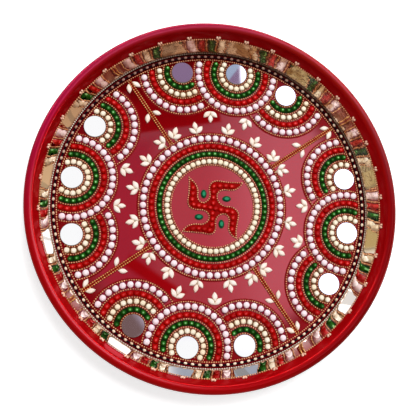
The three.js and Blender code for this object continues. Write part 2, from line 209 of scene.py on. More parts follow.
def card(centre, half, degrees, soft):
    """Share from 0 to 1 of a soft-edged rectangle, in millimetres on the plate's floor."""
    middle = (centre[0] * MM, centre[1] * MM, 0)
    from_middle = vector_maths(room, "SUBTRACT", spot.outputs[0], middle)
    outside = []
    for towards, reach_to in ((degrees, half[0]), (degrees + 90, half[1])):
        along = vector_maths(room, "DOT_PRODUCT", from_middle, compass(towards))
        outside.append(maths(room, "SUBTRACT", maths(room, "ABSOLUTE", along), reach_to * MM))
    return spread(room, maths(room, "MAXIMUM", *outside), 0, 1, soft * MM, -soft * MM, "SMOOTHSTEP")


# %% Walls by compass
DIM_ROOM = (0.5, 0.36, 0.16, 1)
STREAK = (0.2, 0.16, 0.11, 1)
STREAK_SCALE, STREAK_FROM, STREAK_DEPTH = 14, 0.56, 0.45
EDGE_DEGREES = 4
WALLS = [
    # towards, half width in degrees, lowest and highest rise, colour
    (315, 62, 0.0, 0.7, (0.66, 0.44, 0.26, 1)),  # a tan wall
    (80, 71, 0.1, 0.78, (1.3, 1.3, 1.35, 1)),  # the bright side of the room
    (82, 14, 0.1, 0.78, (0.36, 0.4, 0.5, 1)),  # a blue-grey post in it
    (62, 80, 0.04, 0.2, (8, 7, 7, 1)),  # a row of low windows
]


def facing(degrees, half):
    """1 where a direction is within half degrees of a compass direction, else 0, softly."""
    turned_to = vector_maths(room, "DOT_PRODUCT", level_look, compass(degrees))
    far, near = (math.cos(math.radians(half + off)) for off in (EDGE_DEGREES, -EDGE_DEGREES))
    return spread(room, turned_to, 0, 1, far, near, "SMOOTHSTEP")


shown = DIM_ROOM
for towards, half, low, high, colour in WALLS:
    share = maths(room, "MULTIPLY", facing(towards, half), maths(room, "GREATER_THAN", rise, low))
    share = maths(room, "MULTIPLY", share, maths(room, "LESS_THAN", rise, high))
    shown = blend(room, share, shown, colour)
streaks = maths(room, "GREATER_THAN", noise(room, STREAK_SCALE, 1, place=level_look), STREAK_FROM)
shown = blend(room, maths(room, "MULTIPLY", streaks, STREAK_DEPTH), shown, STREAK)
for centre, half, degrees, soft, colour in CARDS:
    shown = blend(room, card(centre, half, degrees, soft), shown, colour)
print("in the room:", len(CARDS), "cards and", len(WALLS), "walls")

# %% The world's three faces
SOFT_LIGHT = 0.32


def lit(colour, strength=1.0):
    made = node(room, "ShaderNodeBackground")
    feed(room, colour, made.inputs["Color"])
    made.inputs["Strength"].default_value = strength
    return made.outputs[0]


def either(share, first, second):
    made = node(room, "ShaderNodeMixShader")
    for value, socket in zip((share, first, second), made.inputs):
        feed(room, value, socket)
    return made.outputs[0]


rays = node(room, "ShaderNodeLightPath").outputs
mirrored = maths(room, "MAXIMUM", rays["Is Glossy Ray"], rays["Is Transmission Ray"])
light = either(mirrored, lit(WHITE, SOFT_LIGHT), lit(shown))
seen = either(rays["Is Camera Ray"], light, lit(WHITE))
feed(room, seen, node(room, "ShaderNodeOutputWorld").inputs[0])
print("world nodes:", len(room.nodes))

# %% [markdown]
# ## Lamp and floor
# One large lamp above the far side gives soft shadows that fall towards the viewer. It is hidden
# from mirrored rays, so that only the room shows in the gloss. The floor is plain paper. A little
# emission for the camera alone lifts it to white, and the plate's shadow on it stays.

# %% Soft lamp
LAMP_AT = Vector((0.3, 0.65, 1.25))
LAMP_SIZE = 0.9
LAMP_WATTS = 19.5
lamp = bpy.data.objects.new("soft_lamp", bpy.data.lights.new("soft_lamp", "AREA"))
lamp.data.size = LAMP_SIZE
lamp.data.energy = LAMP_WATTS
lamp.matrix_world = Matrix.Translation(LAMP_AT) @ LAMP_AT.to_track_quat("Z", "Y").to_matrix().to_4x4()
lamp.visible_glossy = False
bpy.context.scene.collection.objects.link(lamp)
print("lamp is", round(LAMP_AT.length, 2), "m from the plate")


# %% Helpers for meshes and materials
def mesh_object(name, points, faces=(), edges=()):
    mesh = bpy.data.meshes.new(name)
    mesh.from_pydata([tuple(point) for point in points], edges, faces)
    mesh.update()
    made = bpy.data.objects.new(name, mesh)
    bpy.context.scene.collection.objects.link(made)
    return made


def new_material(name, **sockets):
    """A material with one Principled shader, its sockets set by name."""
    made = bpy.data.materials.new(name)
    made.use_nodes = True
    shader = made.node_tree.nodes["Principled BSDF"]
    for label, value in sockets.items():
        shader.inputs[label.replace("_", " ")].default_value = value
    return made, made.node_tree, shader


# %% Floor
FLOOR_HALF = 4.0
PAPER_LIFT = 0.6
floor_corners = [(x * FLOOR_HALF, y * FLOOR_HALF, 0) for x, y in ((-1, -1), (1, -1), (1, 1), (-1, 1))]
floor = mesh_object("studio_floor", floor_corners, [(0, 1, 2, 3)])
paper, tree, shader = new_material(
    "pale paper", Base_Color=(0.9, 0.9, 0.9, 1), Roughness=1.0, Specular_IOR_Level=0.0,
)
lift = node(tree, "ShaderNodeEmission")
for_camera = node(tree, "ShaderNodeLightPath").outputs["Is Camera Ray"]
feed(tree, maths(tree, "MULTIPLY", for_camera, PAPER_LIFT), lift.inputs["Strength"])
both = node(tree, "ShaderNodeAddShader")
feed(tree, shader.outputs[0], both.inputs[0])
feed(tree, lift.outputs[0], both.inputs[1])
feed(tree, both.outputs[0], tree.nodes["Material Output"].inputs["Surface"])
floor.data.materials.append(paper)
print("floor is", 2 * FLOOR_HALF, "m wide")

# %% [markdown]
# ## Finishes
# Each finish is a Principled shader with a little noise in its colour, gloss and bump, because
# hand-set trimmings are never all alike. An image could be wrapped on, but noise on Object
# coordinates stays on the piece at any zoom. Strings of beads carry one more number, an attribute
# called tone, that differs from bead to bead, and the finish turns it into a lighter or darker
# shade. Steep sides get a painted shade, darker than level tops, for where stones stand close
# together. Level tops of stones get a painted highlight, and some finishes a painted shade on one
# side of the plate.


# %% Helpers that read the piece
def tone(tree):
    return node(tree, "ShaderNodeAttribute", attribute_name="tone").outputs["Fac"]


def place_on_plate(tree):
    return node(tree, "ShaderNodeTexCoord").outputs["Object"]


def reach(tree):
    """Distance from the plate's axis."""
    return vector_maths(tree, "LENGTH", vector_maths(tree, "MULTIPLY", place_on_plate(tree), (1, 1, 0)))


def across(tree, towards=45):
    """Distance from the axis in a compass direction, in degrees from +X."""
    return vector_maths(tree, "DOT_PRODUCT", place_on_plate(tree), compass(towards))


def level(tree, low, high):
    """0 on steep sides, 1 on level tops."""
    normal = node(tree, "ShaderNodeSeparateXYZ")
    feed(tree, node(tree, "ShaderNodeNewGeometry").outputs["Normal"], normal.inputs[0])
    return spread(tree, normal.outputs["Z"], 0, 1, low, high)


def ramp(tree, value, stops):
    """A colour ramp through grey stops of (place, share)."""
    made = node(tree, "ShaderNodeValToRGB")
    marks = made.color_ramp.elements
    marks.remove(marks[1])
    for index, (place, share) in enumerate(stops):
        stop = marks.new(place) if index else marks[0]
        stop.position = place
        stop.color = (share, share, share, 1)
    feed(tree, value, made.inputs["Fac"])
    return made.outputs["Color"]


def bump(tree, shader, layers):
    """Layers of (height, depth in metres) pressed into the surface, one after another."""
    normal = None
    for height, depth in layers:
        made = node(tree, "ShaderNodeBump")
        made.inputs["Strength"].default_value = 1
        feed(tree, depth, made.inputs["Distance"])
        feed(tree, height, made.inputs["Height"])
        if normal:
            feed(tree, normal, made.inputs["Normal"])
        normal = made.outputs["Normal"]
    feed(tree, normal, shader.inputs["Normal"])


# %% Helper for the trimmings' finishes
FAR_EDGE = 0.12


def finish(
    name, dark, light, scale, gloss, dent, by_tone=False, side=None, table=None, far=None, **sockets
):
    """Two colours by noise or tone, a painted shade on steep sides and on one far side, a painted highlight
    on level tops.
    """
    made, tree, shader = new_material(name, **sockets)
    grain = noise(tree, scale)
    share = spread(tree, tone(tree), 0, 1, 0, 0.7) if by_tone else grain
    shade = blend(tree, share, (*dark, 1), (*light, 1))
    # Painted shade: the side colour on steep faces.
    if side:
        shade = blend(tree, level(tree, 0.05, 0.6), (*side, 1), shade)
    # Painted highlight: the table colour on level tops, stronger on some stones than on others.
    if table:
        by_stone = spread(tree, tone(tree), 0.1, 1, 0.3, 0.9)
        painted_highlight = maths(tree, "MULTIPLY", level(tree, 0.96, 0.995), by_stone)
        shade = blend(tree, painted_highlight, shade, (*table, 1))
    # Painted shade: the far colour darkens one side of the plate, in a compass direction.
    if far:
        colour, towards = far
        shade = shaded(tree, shade, spread(tree, across(tree, towards), 0, 1, 0.0, FAR_EDGE), (*colour, 1))
    feed(tree, shade, shader.inputs["Base Color"])
    feed(tree, spread(tree, grain, *gloss), shader.inputs["Roughness"])
    bump(tree, shader, [(noise(tree, scale * 2), dent)])
    return made


# %% [markdown]
# ## Enamel
# The plate's red is a fired lacquer with a clear, even gloss. A car-paint recipe gives that: a
# slightly metallic base under a clear coat. Its base colour carries painted light and shade: it is
# lighter on the medallion floor and up the wall, darker round the floor's edge and on some sides of
# the plate, with a painted crimson reflection on the rim's left. Where the coat mirrors the room is
# set by its weight, along ramps that follow the distance from the axis as a share of the radius.

# %% Ramps of the enamel, as (share of the radius, value)
LACQUER_REACH = 150 * MM
# Painted light and shade: the base colour's share by distance from the axis, darker round the floor's edge
# and lighter up the wall.
PAINTED_SHADING_BY_REACH = [
    (0.28, 0.8), (0.45, 0.73), (0.69, 0.73), (0.78, 0.42),
    (0.885, 0.42), (0.89, 0.92), (0.955, 0.92), (0.97, 0.8),
]
FLOOR_POLISH = [(0.28, 1), (0.45, 0.84), (0.72, 0.84), (0.8, 0.1)]
CREST_POLISH = [(0.956, 0), (0.965, 0.5), (0.979, 0.5), (0.987, 0)]
INNER_POLISH = [(0.957, 0), (0.961, 0.8), (0.965, 0.8), (0.969, 0)]
RIM_ONLY = [(0.955, 0), (0.97, 1)]
WALL_ONLY = [(0.955, 1), (0.97, 0)]
# A painted reflection: crimson on the rim's left.
PAINTED_RIM_REFLECTION = (0.4, 0.004, 0.042, 1)


# %% Enamel
def enamel_finish():
    """Glossy red lacquer with painted light and shade in its base colour, and a painted crimson reflection
    on the rim's left.
    """
    made, tree, shader = new_material(
        "red enamel", Metallic=0.34, Specular_IOR_Level=0.0, Coat_IOR=1.6, Coat_Roughness=0.02,
    )
    out_share = maths(tree, "DIVIDE", reach(tree), LACQUER_REACH)

    def sided(towards, start, end, stops):
        """1 on the side of the plate that lies towards a direction, where the ramp allows it."""
        share = spread(tree, across(tree, towards), 0, 1, start, end)
        return maths(tree, "MULTIPLY", share, ramp(tree, out_share, stops))

    shade = blend(tree, noise(tree, 14), (0.48, 0.0012, 0.0035, 1), (0.53, 0.0015, 0.005, 1))
    # Painted light and shade along the ramp.
    shade = shaded(tree, shade, 1, ramp(tree, out_share, PAINTED_SHADING_BY_REACH))
    # Painted shade: darker towards the upper right, on the wall towards 115 degrees and on the rim towards
    # -20 degrees.
    shade = shaded(tree, shade, spread(tree, across(tree), 0, 1, -0.05, 0.1), (0.8, 0.8, 0.8, 1))
    shade = shaded(tree, shade, sided(115, 0.02, 0.13, WALL_ONLY), (0.68, 0.66, 0.66, 1))
    shade = shaded(tree, shade, sided(-20, 0.07, 0.12, RIM_ONLY), (0.6, 0.6, 0.6, 1))
    # Painted reflection: crimson on the rim towards 125 degrees.
    shade = blend(tree, sided(125, 0.06, 0.13, RIM_ONLY), shade, PAINTED_RIM_REFLECTION)
    feed(tree, shade, shader.inputs["Base Color"])
    crest = sided(76, 0.035, 0.12, CREST_POLISH)
    edge_polish = maths(tree, "ADD", crest, sided(215, 0.08, 0.13, INNER_POLISH))
    polish = maths(tree, "ADD", edge_polish, ramp(tree, out_share, FLOOR_POLISH))
    feed(tree, polish, shader.inputs["Coat Weight"])
    feed(tree, spread(tree, noise(tree, 60), 0.09, 0.15), shader.inputs["Roughness"])
    bump(tree, shader, [(noise(tree, 16, 1), 0.06 * MM), (noise(tree, 420), 0.0006 * MM)])
    return made


enamel = enamel_finish()
print("enamel nodes:", len(enamel.node_tree.nodes))

# %% [markdown]
# ## Bare steel
# Between its two chains the wall is bare polished steel, and what the photograph shows there is a
# mirror image of the arches. A flat mirror would show them evenly. The real sheet is thin and a
# little hollow, so the image is drawn out and broken. A bump does that without changing the wall:
# its first layer is the hollow, a height that bends the mirrored rays up more towards the upper
# right, and noise adds the dents. The upper right is crinkled, the lower left calm. The colour
# carries a painted reflection and shade: khaki with dark creases to the upper right, darker and
# redder towards the top, and a painted shadow at the foot.
# Outside and underneath the sheet is plain spun steel, with fine rings from the lathe.

# %% Polished steel band
HOLLOW_FOOT = 0.19
HOLLOW_EASE = 6.8
HOLLOW_FAR = 0.8
FLOOR_TOP = 1 * MM
# Heights over which the painted shadow at the wall's foot fades.
PAINTED_FOOT_SHADOW = (3.5 * MM, 6.5 * MM)
CREASE_W = 0.05


def steel_finish():
    """Thin polished sheet, a little hollow, crinkled to the upper right; painted reflection and shade in
    its colour.
    """
    made, tree, shader = new_material("polished steel")
    height = node(tree, "ShaderNodeSeparateXYZ")
    feed(tree, place_on_plate(tree), height.inputs[0])
    height = height.outputs["Z"]
    crinkle_and_painted_reflection = spread(tree, across(tree, 62), 0, 1, 0.04, 0.115)
    # Painted reflection: khaki on the crinkled upper right.
    painted_khaki_reflection = spread(tree, noise(tree, 110, 1), 0, 1, 0.4, 0.6)
    painted_khaki_reflection = blend(tree, painted_khaki_reflection, (0.56, 0.37, 0.22, 1), (1.0, 0.92, 0.82, 1))
    shade = blend(tree, crinkle_and_painted_reflection, (1.0, 0.94, 0.86, 1), painted_khaki_reflection)
    # Painted reflection and shade: darker and redder towards 110 degrees.
    shade = shaded(tree, shade, spread(tree, across(tree, 110), 0, 1, 0.06, 0.135), (0.62, 0.47, 0.42, 1))
    # Painted shadow: darker at the wall's foot.
    shade = shaded(tree, shade, spread(tree, height, 1, 0, *PAINTED_FOOT_SHADOW), (0.75, 0.6, 0.5, 1))
    # Painted shade: dark lines along the creases of the crinkled side.
    painted_crease_shade = maths(tree, "ABSOLUTE", maths(tree, "SUBTRACT", noise(tree, 190, 1, (1, 1, 2.2)), 0.5))
    painted_crease_shade = maths(tree, "MULTIPLY", spread(tree, painted_crease_shade, 0.9, 0, 0.0, CREASE_W), crinkle_and_painted_reflection)
    feed(tree, blend(tree, painted_crease_shade, shade, (0.2, 0.07, 0.04, 1)), shader.inputs["Base Color"])
    feed(tree, spread(tree, crinkle_and_painted_reflection, 1.0, 0.85), shader.inputs["Metallic"])
    feed(tree, spread(tree, noise(tree, 150), 0.01, 0.05), shader.inputs["Roughness"])
    up_wall = maths(tree, "SUBTRACT", height, FLOOR_TOP)
    foot = maths(tree, "MULTIPLY_ADD", across(tree), HOLLOW_FAR, -HOLLOW_FOOT)
    hollow = maths(tree, "MULTIPLY", up_wall, maths(tree, "MULTIPLY_ADD", up_wall, HOLLOW_EASE, foot))
    bump(tree, shader, [
        (hollow, 1.0),
        (noise(tree, 60), spread(tree, crinkle_and_painted_reflection, 0.03 * MM, 0.15 * MM)),
        (noise(tree, 150, 1, (1, 1, 2)), spread(tree, crinkle_and_painted_reflection, 0.008 * MM, 0.065 * MM)),
    ])
    return made


steel_band = steel_finish()
print("steel band nodes:", len(steel_band.node_tree.nodes))


# %% Spun steel
def spun_steel_finish():
    made, tree, shader = new_material("spun steel", Metallic=1.0, Base_Color=(0.5, 0.5, 0.51, 1))
    rings = node(tree, "ShaderNodeTexNoise", noise_dimensions="1D")
    rings.inputs["Scale"].default_value = 1800
    feed(tree, reach(tree), rings.inputs["W"])
    feed(tree, spread(tree, rings.outputs["Fac"], 0.28, 0.5), shader.inputs["Roughness"])
    bump(tree, shader, [(rings.outputs["Fac"], 0.004 * MM)])
    return made


spun_steel = spun_steel_finish()
print("spun steel nodes:", len(spun_steel.node_tree.nodes))

# %% [markdown]
# ## Finishes of the trimmings
# The chains and beads are plastic or brass with a thin gilt, so their metal value stays low and
# the colour carries the gilt. The ball chains get a painted shade on their steep sides. Foiled
# stones get a painted shade at the side and a painted highlight on the level table, where the foil
# throws the light back. Tapes and glue are matt and deep in colour, and the red glue line outside
# the outer chains is partly a painted shadow of the chain.

# %% Gilt chains, beads and the cord
GILT = {"scale": 300, "dent": 0.004 * MM, "by_tone": True}
DULL_GILT = {**GILT, "gloss": (0.25, 0.4), "Metallic": 0.1, "Specular_IOR_Level": 0.2}
# The side colour of each chain is a painted shade on the balls' steep sides.
chain_gold = finish(
    "copper gilt ball chain", (0.22, 0.01, 0.004), (1.0, 0.57, 0.28), side=(0.52, 0.08, 0.025), **DULL_GILT,
)
spoke_gold = finish(
    "yellow gilt ball chain", (0.3, 0.015, 0.008), (1.0, 0.62, 0.2), side=(0.6, 0.14, 0.02), **DULL_GILT,
)
# The side colour is a painted shade on steep sides, and the far colour a painted shade on the side of the
# plate towards 60 degrees.
foot_gilt = finish(
    "pale gilt ball chain", (0.4, 0.25, 0.18), (1.0, 0.92, 0.8), side=(0.7, 0.5, 0.4), gloss=(0.2, 0.35),
    far=((0.16, 0.09, 0.07), 60), Metallic=0.2, **GILT,
)
picot_gold = finish(
    "rose gilt beads", (0.8, 0.42, 0.3), (1.0, 0.68, 0.5), gloss=(0.22, 0.35), Metallic=0.2, **GILT,
)
# The far colour is a painted shade on the side of the plate towards 105 degrees.
bead_silver = finish(
    "pale gilt beads", (0.6, 0.33, 0.16), (1.0, 0.86, 0.64), gloss=(0.15, 0.3),
    far=((0.38, 0.24, 0.26), 105), Metallic=0.1, **GILT,
)
cord_black = finish(
    "black twisted cord", (0.004, 0.0005, 0.001), (0.02, 0.002, 0.006), 500, (0.45, 0.7), 0.02 * MM,
    Specular_IOR_Level=0.08,
)

# %% Stones
RESIN = {"by_tone": True, "Coat_Weight": 0.3}
FOILED = {
    "scale": 420, "by_tone": True, "Specular_IOR_Level": 0.0, "Coat_Weight": 0.2, "Coat_Roughness": 0.08,
}
# For each stone, the side colour is a painted shade on its steep sides and the table colour a painted
# highlight on its level top.
kundan_cream = finish(
    "cream resin stones", (1.0, 0.8, 0.52), (1.0, 0.9, 0.7), 260, (0.08, 0.2), 0.01 * MM,
    side=(0.5, 0.28, 0.08), table=(1.0, 0.94, 0.8), **RESIN,
)
petal_cream = finish(
    "cream marquise stones", (1.0, 0.78, 0.62), (1.0, 0.89, 0.78), 240, (0.06, 0.16), 0.008 * MM,
    side=(0.9, 0.58, 0.42), table=(1.0, 0.93, 0.86), **RESIN,
)
green_foil = finish(
    "green foiled stones", (0.001, 0.014, 0.0), (0.014, 0.12, 0.006), gloss=(0.1, 0.22), dent=0.03 * MM,
    side=(0.0, 0.006, 0.0), table=(0.3, 0.68, 0.26), **FOILED,
)
green_drop = finish(
    "green drops", (0.0, 0.04, 0.015), (0.004, 0.12, 0.05), gloss=(0.1, 0.22), dent=0.01 * MM,
    side=(0.0, 0.006, 0.003), table=(0.1, 0.95, 0.45), **FOILED,
)
red_foil = finish(
    "red foiled stones", (0.22, 0.0, 0.0), (0.44, 0.002, 0.001), gloss=(0.2, 0.35), dent=0.03 * MM,
    side=(0.15, 0.0, 0.0), table=(0.8, 0.06, 0.06), **FOILED,
)

# %% Tapes and glue
TAPE_SHADES = {
    "plum": ((0.11, 0.003, 0.014), (0.3, 0.013, 0.035)),
    "brown": ((0.06, 0.02, 0.004), (0.2, 0.07, 0.02)),
    "green": ((0.0, 0.006, 0.0), (0.004, 0.03, 0.002)),
    "red": ((0.2, 0.0005, 0.0005), (0.34, 0.002, 0.002)),
    "spoke": ((0.2, 0.002, 0.002), (0.3, 0.006, 0.004)),
}
MATT = {"scale": 500, "dent": 0.03 * MM, "Specular_IOR_Level": 0.1}
tapes = {
    colour: finish(f"{colour} tape", dark, light, gloss=(0.5, 0.7), **MATT)
    for colour, (dark, light) in TAPE_SHADES.items()
}
# A red glue line outside the outer chains, partly a painted shadow of the chain.
red_glue_and_shadow = finish("red glue line", (0.16, 0.0005, 0.001), (0.26, 0.001, 0.002), gloss=(0.2, 0.4), **MATT)
dried_glue = finish("dried glue", (0.25, 0.17, 0.1), (0.5, 0.4, 0.27), 500, (0.15, 0.4), 0.05 * MM)


# %% Half pearls and mirrors
def pearl_finish():
    made, tree, shader = new_material("pink half pearls", Coat_Weight=0.5, Coat_Roughness=0.15)
    body = blend(tree, tone(tree), (1.0, 0.76, 0.83, 1), (1.0, 0.88, 0.92, 1))
    # Painted shade: a deeper pink on the steep sides of each pearl.
    body = blend(tree, level(tree, 0.05, 0.5), (0.82, 0.4, 0.5, 1), body)
    feed(tree, body, shader.inputs["Base Color"])
    feed(tree, spread(tree, noise(tree, 300), 0.22, 0.36), shader.inputs["Roughness"])
    bump(tree, shader, [(noise(tree, 500), 0.008 * MM)])
    return made


def mirror_finish():
    made, tree, shader = new_material("mirror glass", Metallic=1.0, Base_Color=(0.95, 0.95, 0.96, 1))
    feed(tree, spread(tree, noise(tree, 90), 0.005, 0.05), shader.inputs["Roughness"])
    bump(tree, shader, [(noise(tree, 120), 0.002 * MM)])
    return made


pearl_pink = pearl_finish()
mirror_glass = mirror_finish()
mirror_edge = finish(
    "ground mirror edge", (0.25, 0.28, 0.27), (0.5, 0.52, 0.5), 700, (0.3, 0.6), 0.02 * MM, Metallic=0.4,
)
print("finishes:", len(bpy.data.materials))

# %% [markdown]
# ## Handing over a piece
# Every piece rides on the plate's one body and hides the CAD nodes it stands for. One helper does
# both, so that no piece can miss either.


# %% Helper that hands over a piece
def hand_over(piece, slot, *nodes):
    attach(piece, "root")
    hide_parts(*nodes)
    size = [round(value / MM, 1) for value in piece.dimensions]
    print(f"{piece.name}: {len(piece.data.polygons)} faces, {size} mm")
    return piece


# %% [markdown]
# ## Plate
# A thali is spun or pressed, so its section is the same all the way round. Turning one outline in
# mesh code is the plainest way to make it, and gives control of where enamel ends and bare steel
# begins. The outline repeats the CAD section: a flat floor, a tight bend, a straight leaning wall
# and a rolled edge, with more points on its curves.

# %% Sizes of the plate's section
plate_low, plate_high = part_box("plate")
PLATE_R = plate_high[0]
PLATE_H = plate_high[2]
FLOOR_R = 131.3 * MM
SHEET = 1.0 * MM
ROLL_R = 3.9 * MM
ROLL_SLIT = 1.0 * MM
BEND_R = 0.8 * MM
FOOT_CHAIN_RISE = 2.5 * MM
WALL_CHAIN_RISE = 16.4 * MM
roll_x, roll_z = PLATE_R - ROLL_R, PLATE_H - ROLL_R
roll_away = math.hypot(roll_x - FLOOR_R, roll_z - SHEET)
wall_lean = math.atan2(roll_x - FLOOR_R, roll_z - SHEET) - math.asin(ROLL_R / roll_away)
bend_share = math.tan((math.pi / 2 - wall_lean) / 2)
print("wall leans", round(math.degrees(wall_lean), 1), "degrees from upright")


def on_wall(rise, along=0.0, off=0.0):
    """A place on the wall: a height above the floor, and from there a way up it and off it."""
    r, z = FLOOR_R + rise * math.tan(wall_lean), SHEET + rise
    s, c = math.sin(wall_lean), math.cos(wall_lean)
    return r + along * s - off * c, z + along * c + off * s


# %% Outline of the section
BEND_STEPS, INNER_ROLL_STEPS, ROLL_STEPS, BAND_STEPS = 5, 20, 44, 8
UNDER_RINGS = (0, 30, 60, 90, 115)
FLOOR_RINGS = (120, 105, 90, 75, 60, 45, 30, 15, 0)
ENAMEL, STEEL, SPUN = 0, 1, 2


def arc(centre, r, start, end, steps):
    angles = [start + (end - start) * i / steps for i in range(steps + 1)]
    return [(centre[0] + r * math.cos(a), centre[1] + r * math.sin(a)) for a in angles]


def bend_arc(corner_r, corner_z, r):
    """Rounds the corner between the floor and the wall, from the floor side."""
    return arc((corner_r - r * bend_share, corner_z + r), r, -math.pi / 2, -wall_lean, BEND_STEPS)


def plate_outline():
    """Outline points (r, z) with the finish of the strip that follows each."""
    start = math.pi - wall_lean
    inner = ROLL_R - SHEET
    end = start - 2 * math.pi + math.acos(inner / ROLL_R) + ROLL_SLIT / ROLL_R
    under = [(r * MM, 0) for r in UNDER_RINGS] + bend_arc(FLOOR_R + SHEET * bend_share, 0, BEND_R + SHEET)
    outside = arc((roll_x, roll_z), inner, start, end, INNER_ROLL_STEPS)
    rim = arc((roll_x, roll_z), ROLL_R, end, start, ROLL_STEPS)
    ends = list(zip(on_wall(WALL_CHAIN_RISE), on_wall(BEND_R)))
    band = [tuple(high + (low - high) * i / BAND_STEPS for high, low in ends) for i in range(BAND_STEPS)]
    floor_line = bend_arc(FLOOR_R, SHEET, BEND_R)[::-1] + [(r * MM, SHEET) for r in FLOOR_RINGS]
    strips = [(under, SPUN), (outside, ENAMEL), (rim, ENAMEL), (band, STEEL), (floor_line, ENAMEL)]
    return [(point, slot) for points, slot in strips for point in points]


# %% Turn the outline
PLATE_STEPS = 288
ON_AXIS = 1e-9


def turned(name, outline, steps, materials):
    """Turns (r, z) points about Z. A point on the axis becomes one closed pole."""
    points, rows = [], []
    for (r, z), _ in outline:
        if r < ON_AXIS:
            rows.append([len(points)] * steps)
            points.append((0, 0, z))
            continue
        rows.append(list(range(len(points), len(points) + steps)))
        angles = [2 * math.pi * i / steps for i in range(steps)]
        points += [(r * math.cos(a), r * math.sin(a), z) for a in angles]
    faces, slots = [], []
    for below, above, (_, slot) in zip(rows, rows[1:], outline):
        for i in range(steps):
            j = (i + 1) % steps
            face = list(dict.fromkeys([below[i], below[j], above[j], above[i]]))
            if len(face) > 2:
                faces.append(face)
                slots.append(slot)
    made = mesh_object(name, points, faces)
    for material in materials:
        made.data.materials.append(material)
    for polygon, slot in zip(made.data.polygons, slots):
        polygon.material_index = slot
        polygon.use_smooth = True
    return made


plate = turned("thali_plate", plate_outline(), PLATE_STEPS, [enamel, steel_band, spun_steel])
hand_over(plate, "plate_enamel", "plate")

# %% [markdown]
# ## Small shapes
# Beads and stones are repeated hundreds of times, so each has only a few dozen faces. A stone is
# an outline lifted through a few rings: its girdle, its slope and its table. Round balls come from
# the same helper, with rings from a circle. These carriers are hidden, and removed at the end.


# %% Helpers for small shapes
def cut_stone(name, outline, rings, smooth=False):
    """A stone from its outline and rings of (share of the outline, height), low to high."""
    count = len(outline)
    points = [(x * share, y * share, z) for share, z in rings for x, y in outline]
    faces = [
        (k * count + i, k * count + (i + 1) % count, (k + 1) * count + (i + 1) % count, (k + 1) * count + i)
        for k in range(len(rings) - 1)
        for i in range(count)
    ]
    faces.append(tuple(range(count))[::-1])
    faces.append(tuple(range(len(points) - count, len(points))))
    made = mesh_object(name, points, faces)
    for polygon in made.data.polygons:
        polygon.use_smooth = smooth and len(polygon.vertices) < 5
    made.hide_render = True
    return made


def oval(length, width, sides, squareness=1.0):
    """Outline points of a round, or with a squareness below 1 a cushion shape."""
    def rounded(value):
        return math.copysign(abs(value) ** squareness, value)

    angles = [2 * math.pi * (i + 0.5) / sides for i in range(sides)]
    return [(length / 2 * rounded(math.cos(a)), width / 2 * rounded(math.sin(a))) for a in angles]


ALMOND_FULLNESS = 1.05


def almond(length, width, steps):
    """Outline of a marquise stone, pointed along Y."""
    side = [
        (width / 2 * (1 - (2 * i / steps - 1) ** 2) ** ALMOND_FULLNESS, length * (i / steps - 0.5))
        for i in range(steps)
    ]
    return side + [(-x, -y) for x, y in side]


def ball_rings(size, marks, parts):
    """Rings of a ball, at marks of a half turn cut in parts."""
    angles = [math.pi * mark / parts for mark in marks]
    return [(math.sin(a), -math.cos(a) * size / 2) for a in angles]


# %% Small shapes
BALL_D = 1.22 * MM


def rings_mm(*rings):
    return [(share, height * MM) for share, height in rings]


chain_ball = cut_stone(
    "chain_ball", oval(BALL_D, BALL_D, 8), ball_rings(BALL_D, (0.35, 1.2, 2, 2.8, 3.65), 4), True,
)
bead = cut_stone("bead", oval(1, 1, 8), ball_rings(1, (0.3, 1.2, 2.1, 3, 3.9, 4.8, 5.7), 6), True)
kundan_stone = cut_stone(
    "kundan_stone", oval(4.6 * MM, 4.6 * MM, 12, 0.82),
    rings_mm((0.94, 0), (1.0, 0.5), (0.82, 1.3), (0.45, 1.75)),
)
green_stone = cut_stone(
    "green_stone", oval(4.5 * MM, 4.2 * MM, 8), rings_mm((0.94, 0), (1.0, 0.6), (0.72, 1.5), (0.36, 1.9)),
)
red_stone = cut_stone(
    "red_stone", oval(5.6 * MM, 4.7 * MM, 8), rings_mm((0.94, 0), (1.0, 0.8), (0.74, 1.6), (0.36, 1.9)),
)
half_pearl = cut_stone(
    "half_pearl", oval(5.45 * MM, 5.45 * MM, 12),
    rings_mm((0.97, 0), (1.0, 0.35), (0.93, 1.25), (0.72, 1.95), (0.4, 2.35), (0.12, 2.45)), True,
)
marquise = cut_stone(
    "marquise", almond(1, 1, 8), rings_mm((0.95, 0), (1.0, 0.5), (0.84, 1.2), (0.45, 1.65)),
)
drop_cut = cut_stone(
    "drop_cut", oval(4.9 * MM, 7.4 * MM, 14), rings_mm((0.94, 0), (1.0, 0.5), (0.72, 1.5), (0.5, 1.75)),
)
small_shapes = [chain_ball, bead, kundan_stone, green_stone, red_stone, half_pearl, marquise, drop_cut]
print("faces of each:", {shape.name: len(shape.data.polygons) for shape in small_shapes})

# %% [markdown]
# ## Strings of beads and stones
# A ball chain or a string of stones is one small shape repeated along a path. A loop could copy
# it, but Geometry Nodes do that well: the path is resampled to the pitch, the small shape is set
# on each point, turned to follow the path, and every copy gets its own tone and a little of its
# own size. A chain also gets a thin wire through its balls. Realize Instances then makes real
# faces, because the export drops instances.

# %% Helpers for Geometry Nodes trees
RANDOM_LOW, RANDOM_HIGH, RANDOM_RESULT = 2, 3, 1
SWING_STEP, TONE_STEP = 3, 7
DARKEST_TONE = 0.3
WIRE_SIDES, STRAND_SIDES = 4, 6


def new_tree(name, **inputs):
    tree = bpy.data.node_groups.new(name, "GeometryNodeTree")
    for label, kind in {"Geometry": "Geometry", **inputs}.items():
        tree.interface.new_socket(label.replace("_", " "), in_out="INPUT", socket_type="NodeSocket" + kind)
    tree.interface.new_socket("Geometry", in_out="OUTPUT", socket_type="NodeSocketGeometry")
    return tree, node(tree, "NodeGroupInput").outputs, node(tree, "NodeGroupOutput").inputs["Geometry"]


